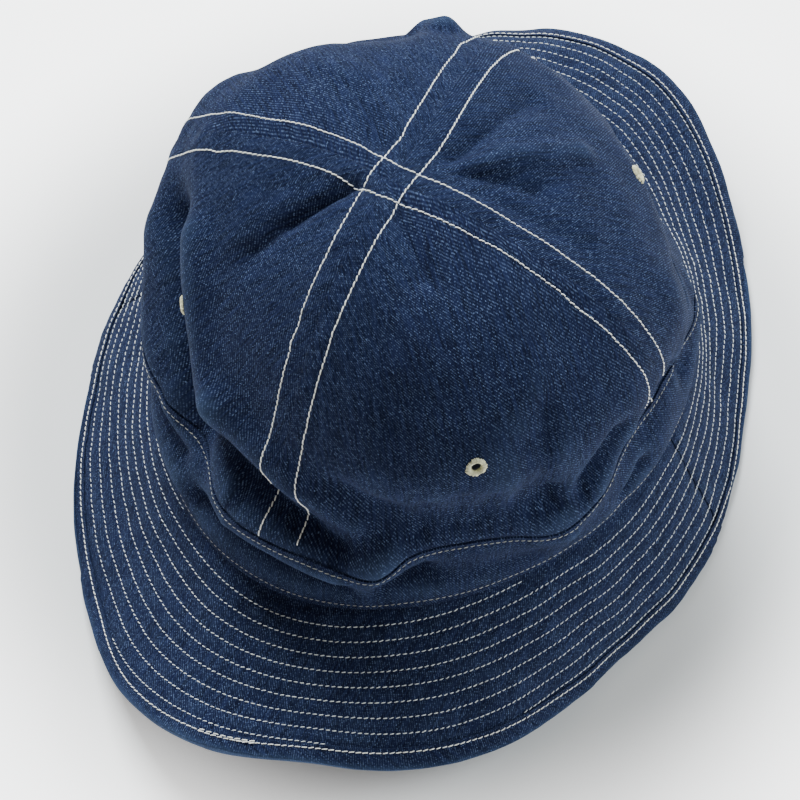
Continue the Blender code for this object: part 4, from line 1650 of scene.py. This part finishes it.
@dataclass
class SideBand(Sewn):
    """The narrow band between the brim and the gores, with its two rows of stitches."""

    columns: int = 520
    rows: int = 22
    top_row: float = 0.0019
    foot_row: float = 0.0021
    row_dip: float = 0.00025
    row_dip_width: float = 0.0012
    row_sink: float = 0.0002
    # ridges of the band are painted lighter: partly wear, partly a painted highlight where they
    # catch the light
    wear: WearAndHighlight = WearAndHighlight(reach=3, height=0.0035, gain=1.6, start=0.05)
    flat_length: float = 0.596

    def edges(self, bearing: Array) -> tuple[Array, Array]:
        """Climbs of the band's lower and upper edges, clear of the brim and of the gores.

        Args:
            bearing: degrees round the hat.

        Returns:
            The lower and the upper climbs.
        """
        form = self.form
        zero = np.zeros(bearing.shape)
        start = form.crown(bearing, zero, seams=False)
        above = form.crown(bearing, zero + BEND_CLIMB, seams=False)
        slope = np.linalg.norm(above - start, axis=-1) / BEND_CLIMB
        return (BRIM_THICKNESS / 2 + SEAM_GAP) / slope, form.band_climb(bearing)

    def build(self) -> None:
        """Build the band and its stitches."""
        bearing = np.linspace(0, 360, self.columns + 1)
        foot, head = self.edges(bearing)
        share = np.linspace(0, 1, self.rows)[:, None]
        climb = foot + (head - foot) * share
        turns = np.broadcast_to(bearing, climb.shape)
        points = self.form.crown(turns, climb, seams=False)
        points = self.seam_edges(points, share)
        cloth = np.stack([np.radians(turns) * self.flat_length / (2 * math.pi),
                          share * BAND_HEIGHT + 0 * turns], -1)
        piece = grid_object("side_band_cloth", points, cloth, self.wear.on(points), CLOTH,
                            self.denim, closed=True)
        declare(piece, ("side_band",))
        self.make_rows(bearing, foot, head)

    def seam_edges(self, points: Array, share: Array) -> Array:
        """Let the cloth dip where each row of stitches pulls it in.

        Args:
            points: the band's grid of points.
            share: how far up the band each row of them is.

        Returns:
            The points with the dips.
        """
        gap_top = (1 - share) * BAND_HEIGHT - self.top_row
        gap_foot = share * BAND_HEIGHT - self.foot_row
        dip = self.row_dip * (bump_of(gap_top, self.row_dip_width)
                              + bump_of(gap_foot, self.row_dip_width))
        along = np.gradient(points, axis=1)
        up = np.gradient(points, axis=0)
        return points - unit(np.cross(along, up)) * dip[..., None]

    def make_rows(self, bearing: Array, foot: Array, head: Array) -> None:
        """The row under the band's upper seam and the row on its lower edge.

        Args:
            bearing: degrees round the hat.
            foot: climbs of the lower edge.
            head: climbs of the upper edge.
        """
        form = self.form
        rows = []
        for climb in (head - (head - foot) * self.top_row / BAND_HEIGHT,
                      foot + (head - foot) * self.foot_row / BAND_HEIGHT):
            up = form.crown_up(bearing, climb)
            points = form.crown(bearing, climb, seams=False)
            rows.append((points + up * (CLOTH / 2 - self.row_sink), up))
        self.stitches.sew("side_band_stitches", rows, BAND_SEWING, self.thread)


@dataclass
class Brim(Sewn):
    """The two quilted halves of the brim and its spiral of stitch rows."""

    columns: int = 330
    rows: int = 52
    seam_dip: float = 0.0006
    seam_dip_width: float = 0.0022
    clear_of_seam: float = 0.0010
    clear_of_binding: float = 0.0005
    rounds: int = 10
    round_step: float = 0.4
    # ridges of the brim are painted lighter: partly wear, partly a painted highlight where they
    # catch the light
    wear: WearAndHighlight = WearAndHighlight(reach=3, height=0.003, gain=1.3, start=0.02)
    flat_width: float = 0.135
    flat_length: float = 0.330
    flat_area: float = 0.0215

    def build(self) -> None:
        """Build both halves and the stitches on both faces."""
        right, left = SIDE_SEAMS
        self.make_half("back", right, left)
        self.make_half("front", left, right + 360)
        self.make_spiral()

    def make_half(self, place: str, start: float, end: float) -> None:
        """Half of the brim, from side seam to side seam.

        Args:
            place: front or back.
            start: bearing of its first seam.
            end: bearing of its last seam.
        """
        share = np.linspace(0, 1, self.columns)
        bearing = start + (end - start) * share
        arc = stride(self.form.brim_smooth, bearing, 0 * bearing)
        bearing = bearing + SMALL_TURN * BRIM_SEAM_GAP / 2 / arc * (1 - 2 * share)
        width = self.form.brim_width(bearing)
        inward = np.linspace(0, 1, self.rows)[:, None]
        out = width + (-BRIM_TUCK - width) * inward
        turns = np.broadcast_to(bearing, out.shape)
        points = self.form.brim(turns, out)
        from_seam = np.minimum(share, 1 - share) * self.flat_length
        dip = self.seam_dip * bump_of(from_seam, self.seam_dip_width)
        points -= self.form.brim_up(turns, out) * dip[:, None]
        flat = self.form.head_seam(turns) + self.form.outward(turns) * out[..., None]
        piece = grid_object(f"brim_{place}_cloth", points, flat[..., :2],
                            self.wear.on(points), BRIM_THICKNESS, self.denim)
        declare(piece, (f"brim_{place}",))

    def spiral(self) -> list[tuple[Array, Array]]:
        """Bearings and distances out of the spiral, cut where it leaves the open brim.

        Returns:
            For each stretch its bearings and its distances from the head seam.
        """
        form = self.form
        start = ROW_COURSE[0].bearing
        turned = np.arange(start, start + 360 * self.rounds + 0.1, self.round_step)
        turn = np.floor((turned - start) / 360)
        from_edge = (form.row_course("first", turned)
                     + form.row_course("pitch", turned) * turn)
        out = form.brim_width(turned) - from_edge
        bound = form.binding_width(turned) + self.clear_of_binding
        open_cloth = (out > self.clear_of_seam) & (from_edge > bound)
        cuts = np.flatnonzero(np.diff(open_cloth.astype(int))) + 1
        lines = []
        for piece_turned, piece_out, shown in zip(np.split(turned, cuts), np.split(out, cuts),
                                                  np.split(open_cloth, cuts)):
            if shown[0] and len(shown) > SHORTEST_ROW:
                lines.append((piece_turned, piece_out))
        return lines

    def make_spiral(self) -> None:
        """The rows of stitches, on the top face and on the underside."""
        tops, bottoms = [], []
        for turned, out in self.spiral():
            up = self.form.brim_up(turned, out)
            middle = self.form.brim(turned, out)
            tops.append((middle + up * (BRIM_THICKNESS / 2), up))
            bottoms.append((middle - up * (BRIM_THICKNESS / 2), -up))
        self.stitches.sew("brim_stitches", tops, BRIM_SEWING, self.thread)
        self.stitches.sew("brim_underside_stitches", bottoms, UNDER_SEWING, self.thread)


@dataclass
class Binding(Sewn):
    """The strip folded over the brim's edge, and its row of stitches."""

    columns: int = 640
    nose_squash: float = 0.9
    edge_seam: float = 0.0013
    dip: float = 0.00020
    dip_width: float = 0.0010
    dip_from: float = 0.0015
    ripple_share: float = 0.6
    strip_width: float = 0.0176
    strip_length: float = 0.915
    lap: float = 0.0005
    lap_length: float = 0.011
    lap_edge: float = 0.0005
    # how much lighter the folded edge is painted, through the attribute that carries the ridges'
    # wear and painted highlight
    wear: float = 0.7
    wear_middle: float = 0.001
    wear_width: float = 0.0016
    row_sink: float = 0.00014
    tack_range: tuple[float, float] = (-1, 6)
    tack_gap: float = 0.00035

    def section(self) -> Array:
        """The strip's outline: (out beyond the cut edge, off the middle layer).

        Returns:
            The outline's points, each as those two distances in metres.
        """
        inside = BRIM_THICKNESS / 2 + BINDING_GAP
        outside = inside + BINDING_CLOTH
        middle = (inside + outside) / 2
        runs = np.linspace(-BINDING_WIDTH, BINDING_GAP, 9)
        nose = np.radians(np.linspace(75, -75, 7))
        edge = np.radians(np.linspace(-60, 60, 3))
        half = BINDING_CLOTH / 2
        top_out = [(run, outside) for run in runs]
        turn_out = [(BINDING_GAP + BINDING_CLOTH * np.cos(a) * self.nose_squash,
                     outside * np.sin(a)) for a in nose]
        bottom_in = [(run, -outside) for run in runs[::-1]]
        low_edge = [(-BINDING_WIDTH - half * np.cos(a), -middle + half * np.sin(a))
                    for a in edge]
        bottom_out = [(run, -inside) for run in runs[::2]]
        top_in = [(run, inside) for run in runs[::-2]]
        high_edge = [(-BINDING_WIDTH - half * np.cos(a), middle + half * np.sin(a))
                     for a in edge]
        return np.array(top_out + turn_out + bottom_in + low_edge + bottom_out + top_in
                        + high_edge)[::-1]

    def build(self) -> None:
        """Build the strip and its stitches."""
        form = self.form
        section = self.section()
        bearing = np.linspace(0, 360, self.columns + 1)[:-1]
        beyond, off = section[:, 0][:, None], section[:, 1][:, None]
        strip = form.binding_width(bearing)
        beyond = np.where(beyond < 0, beyond * strip / BINDING_WIDTH, beyond)
        width = form.brim_width(bearing)
        out = width + np.minimum(0.0, beyond)
        turns = np.broadcast_to(bearing, out.shape)
        base = form.brim_smooth(turns, out)
        up = form.brim_up(turns, out)
        base += up * form.brim_ripples.at(base)[..., None]
        run = unit(base - form.brim_smooth(turns, out - SMALL_LENGTH))
        outer = abs(off) > BRIM_THICKNESS / 2 + BINDING_GAP + BINDING_CLOTH / 2
        dip = self.dip * bump_of(beyond + strip - self.edge_seam, self.dip_width)
        dip = (dip - form.fine_ripples.at(base) * self.ripple_share) * (abs(off) > self.dip_from)
        arc = BRIM_TURN_LENGTH * (bearing - BINDING_JOIN) - beyond
        lapped = smooth_step(arc, 0, self.lap_edge)
        lapped *= 1 - smooth_step(arc, self.lap_length - self.lap_edge, self.lap_length)
        height = off - np.sign(off) * (dip - self.lap * lapped * outer)
        points = base + run * np.maximum(0.0, beyond)[..., None] + up * height[..., None]
        lowest = max(points[..., 2].min() + BINDING_PRESS, 0.0)
        points[..., 2] = np.maximum(points[..., 2], lowest)
        round_length = np.linalg.norm(np.roll(base, -1, axis=1) - base, axis=-1).mean(0)
        along = np.concatenate([[0], np.cumsum(round_length)])[:-1]
        step = np.linalg.norm(np.diff(section, axis=0), axis=1)
        around = np.concatenate([[0], np.cumsum(step)])[:, None]
        slanted = np.stack([(along + around) * math.sqrt(0.5),
                            (along - around) * math.sqrt(0.5)], -1)
        # the folded edge is painted lighter through the same attribute that carries the ridges'
        # wear and painted highlight
        worn = bump_of(beyond - self.wear_middle, self.wear_width) * self.wear + 0 * along
        self.make_strip(points, slanted, worn)
        self.make_row(bearing)

    def make_strip(self, points: Array, cloth: Array, worn: Array) -> None:
        """Join the outline round the brim into one closed strip.

        Args:
            points: outline by columns by three.
            cloth: the strip's own coordinates in metres.
            worn: how much each point is painted lighter, as wear and as a painted highlight.
        """
        count, columns = points.shape[:2]
        number = np.arange(count * columns).reshape(count, columns)
        beside = np.roll(number, -1, axis=1)
        quads = np.stack([number, beside, np.roll(beside, -1, axis=0),
                          np.roll(number, -1, axis=0)], -1).reshape(-1, 4)
        piece = cloth_object("brim_binding_cloth", points.reshape(-1, 3), quads,
                             cloth.reshape(-1, 2)[quads.ravel()], worn.ravel(), self.denim)
        piece.data.shade_smooth()
        declare(piece, ("brim_binding",))

    def make_row(self, bearing: Array) -> None:
        """The stitches along the strip, on the top face and on the underside.

        Args:
            bearing: degrees round the hat.
        """
        form = self.form
        bearing = np.append(bearing, 360.0)
        out = form.brim_width(bearing) - form.binding_width(bearing) + self.edge_seam
        up = form.brim_up(bearing, out)
        base = form.brim_smooth(bearing, out)
        base += up * form.brim_ripples.at(base)[..., None]
        lift = BRIM_THICKNESS / 2 + BINDING_GAP + BINDING_CLOTH - self.row_sink
        first, last = self.tack_range
        tack = (bearing > BINDING_JOIN + first) & (bearing < BINDING_JOIN + last)
        aside = np.cross(up, unit(np.gradient(base, axis=0))) * self.tack_gap
        over = base + up * (lift + self.lap)
        rows = [(base + up * lift, up), (base - up * lift, -up),
                ((over + aside)[tack], up[tack]), ((over - aside)[tack], up[tack])]
        self.stitches.sew("binding_stitches", rows, BINDING_SEWING, self.thread)


@dataclass
class Eyelets:
    """A ring of buttonhole stitches round a small hole in each gore."""

    form: HatForm
    stitches: StitchNodes
    thread: bpy.types.Material
    loops: int = 38
    thread_radius: float = 0.00021
    width: float = 0.0076
    squash: float = 0.16
    long_way: float = 25.0
    seed: int = 21
    shade_seed: int = 31
    shades: tuple[float, float] = (0.1, 1.0)
    step_play: float = 0.2
    rim_play: tuple[float, float] = (-0.00035, 0.00015)
    hole_play: tuple[float, float] = (-0.0001, 0.0001)
    heights: tuple[float, ...] = (0.0004, 0.0009, 0.0013, 0.0010, 0.0003, -0.0003, -0.0009,
                                  -0.0007)

    def build(self) -> None:
        """Build one eyelet in each gore."""
        for gore in GORES:
            self.make_eyelet(gore)

    def make_eyelet(self, gore: Gore) -> None:
        """The loops of one eyelet, from its rim over the edge of the hole.

        Args:
            gore: the gore.
        """
        turn, climb = np.array([gore.middle]), np.array([EYELET_CLIMB])
        centre = self.form.crown(turn, climb)[0]
        up = self.form.crown_up(turn, climb)[0]
        side = unit(np.cross(UPWARD, up))
        rise = np.cross(up, side)
        draw = np.random.default_rng(self.seed + int(gore.right_bearing))
        lines = []
        for number in range(self.loops):
            play = draw.uniform(-self.step_play, self.step_play)
            angle = 2 * math.pi * (number + play) / self.loops
            ray = side * math.cos(angle) + rise * math.sin(angle)
            rim = self.width / 2 - self.thread_radius + draw.uniform(*self.rim_play)
            hole = EYELET_HOLE / 2 + draw.uniform(*self.hole_play)
            narrow = 1 - self.squash * math.sin(angle - math.radians(self.long_way)) ** 2
            radii = narrow * np.array([rim, rim - 0.0003, (rim + hole) / 2, hole + 0.0003,
                                       hole, hole, hole + 0.0005, rim - 0.0008])
            heights = np.array(self.heights)[:, None]
            lines.append(centre + ray * radii[:, None] + up * heights)
        piece = self.tubes(f"eyelet_{gore.place}_thread", lines)
        declare(piece, (f"eyelet_{gore.place}",))

    def tubes(self, name: str, lines: Sequence[Array]) -> bpy.types.Object:
        """Give each loop a round thread.

        Args:
            name: the piece's name.
            lines: the points of each loop.

        Returns:
            The piece.
        """
        curve = bpy.data.curves.new(name, "CURVE")
        curve.dimensions = "3D"
        curve.bevel_depth = self.thread_radius
        curve.bevel_resolution = 1
        curve.use_fill_caps = True
        for line in lines:
            spline = curve.splines.new("POLY")
            spline.points.add(len(line) - 1)
            spline.points.foreach_set("co", np.c_[line, np.ones(len(line))].ravel())
        holder = link(name + "_line", curve)
        graph = bpy.context.evaluated_depsgraph_get()
        mesh = bpy.data.meshes.new_from_object(holder.evaluated_get(graph))
        bpy.data.objects.remove(holder)
        mesh.name = name
        mesh.materials.clear()
        mesh.materials.append(self.thread)
        mesh.shade_smooth()
        draw = np.random.default_rng(self.shade_seed)
        loop = np.repeat(draw.uniform(*self.shades, len(lines)),
                         len(mesh.vertices) // len(lines))
        keep(mesh, "shade", np.resize(loop, len(mesh.vertices)))
        return link(name, mesh)


@dataclass
class Studio:
    """A pale floor that glows in a ring round the hat, soft light and the camera."""

    floor_size: float = 6.0
    floor_colour: Colour = (0.92, 0.92, 0.91)
    # painted light: the floor glows though it is no lamp; glow_ring gives the radii where the
    # glow rises and falls, so none falls close to the hat and the floor there reads as painted
    # shade
    glow: float = 2.6
    glow_ring: tuple[float, float, float, float] = (0.13, 0.21, 0.30, 0.42)
    sky: float = 0.34
    sky_colour: Colour = (1.0, 0.96, 0.90)

    def build(self) -> None:
        """Build the floor, the lights and the camera."""
        self.make_floor()
        self.make_sky()
        self.make_lamp("back softbox", (-1.3, 1.0, 1.8), 1.2, 142.0, (0.90, 0.96, 1.0))
        self.make_lamp("right softbox", (1.5, 1.0, 1.1), 0.9, 34.0, (0.86, 0.95, 1.0))
        self.make_camera()

    def make_floor(self) -> None:
        """A wide level sheet of white paper that glows in a ring: no glow near the hat, so the
        floor there stays darker as painted shade, and glow further out as painted light that
        brightens the floor and lights the hat from below.
        """
        half = self.floor_size / 2
        mesh = bpy.data.meshes.new("floor")
        mesh.from_pydata([(-half, -half, 0), (half, -half, 0), (half, half, 0),
                          (-half, half, 0)], [], [(0, 1, 2, 3)])
        floor = link("floor", mesh)
        paint = Paint("white paper", 0.95)
        paint.shader.inputs["Base Color"].default_value = (*self.floor_colour, 1.0)
        place = paint.node("ShaderNodeTexCoord", output="Object")
        away = paint.node("ShaderNodeVectorMath", {"operation": "LENGTH"}, {0: place},
                          output="Value")
        rise, fall = (paint.node("ShaderNodeMapRange", {"interpolation_type": "SMOOTHSTEP"},
                                 {0: away, 1: self.glow_ring[side], 2: self.glow_ring[side + 1]})
                      for side in (0, 2))
        # painted light in a ring, with painted shade close to the hat where the glow is zero
        share = rise * (1.0 - fall)
        paint.feed("Emission Color", paint.mix(share, (0.0, 0.0, 0.0), (1.0, 1.0, 1.0)))
        paint.shader.inputs["Emission Strength"].default_value = self.glow
        mesh.materials.append(paint.material)

    def make_sky(self) -> None:
        """An even white surround."""
        world = bpy.data.worlds.new("white surround")
        bpy.context.scene.world = world
        world.use_nodes = True
        shade = world.node_tree.nodes["Background"]
        shade.inputs["Color"].default_value = (*self.sky_colour, 1.0)
        shade.inputs["Strength"].default_value = self.sky

    def make_lamp(self, name: str, place: tuple[float, float, float], size: float,
                  power: float, colour: Colour) -> None:
        """One soft lamp, turned to the hat.

        Args:
            name: the lamp's name.
            place: where it stands, in metres.
            size: of its square face, in metres.
            power: in watts.
            colour: of its light.
        """
        light = bpy.data.lights.new(name, "AREA")
        light.shape = "SQUARE"
        light.size = size
        light.energy = power
        light.color = colour
        lamp = link(name, light)
        lamp.location = place
        lamp.rotation_mode = "QUATERNION"
        aim = (Vector(CAMERA_AIM) - Vector(place)).normalized()
        lamp.rotation_quaternion = aim.to_track_quat("-Z", "Y")

    def make_camera(self) -> None:
        """The camera, looking down at the hat's front right."""
        turn, rise = math.radians(CAMERA_AZIMUTH), math.radians(CAMERA_ELEVATION)
        back = Vector((math.sin(turn) * math.cos(rise), -math.cos(turn) * math.cos(rise),
                       math.sin(rise)))
        data = bpy.data.cameras.new("camera")
        data.lens = CAMERA_LENS
        data.sensor_width = CAMERA_SENSOR
        data.clip_start = CAMERA_NEAR
        camera = link("camera", data)
        camera.location = Vector(CAMERA_AIM) + back * CAMERA_DISTANCE
        camera.rotation_mode = "QUATERNION"
        camera.rotation_quaternion = (-back).to_track_quat("-Z", "Y")
        bpy.context.scene.camera = camera


def main() -> None:
    """Load the solids, dress the hat and set the scene."""
    logging.basicConfig(level=logging.INFO, format="%(name)s %(message)s")
    for thing in list(bpy.data.objects):
        bpy.data.objects.remove(thing)
    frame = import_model()
    head = next(mount for mount in frame["record"]["mounts"] if mount["name"] == "head")
    form = HatForm(np.array(head["pos_m"]))
    stitches = StitchNodes()
    denim = DenimFinish("crown denim").make()
    brim_denim = DenimFinish("brim denim").make()
    binding_denim = DenimFinish("binding denim").make()
    white = ThreadFinish("white thread", (0.95, 0.95, 0.90), (0.78, 0.78, 0.73)).make()
    pale = ThreadFinish("pale thread", (0.76, 0.79, 0.79), (0.52, 0.55, 0.57)).make()
    ecru = ThreadFinish("ecru thread", (0.46, 0.46, 0.41), (0.22, 0.23, 0.22)).make()
    cream = ThreadFinish("cream eyelet thread", (0.88, 0.86, 0.62), (0.42, 0.41, 0.26)).make()
    blue = ThreadFinish("blue thread", (0.020, 0.034, 0.090), (0.006, 0.009, 0.024)).make()
    Crown(form, stitches, denim, white, blue).build()
    SideBand(form, stitches, denim, ecru).build()
    Brim(form, stitches, brim_denim, pale).build()
    Binding(form, stitches, binding_denim, white).build()
    Eyelets(form, stitches, cream).build()
    Studio().build()


if __name__ == "__main__":
    main()
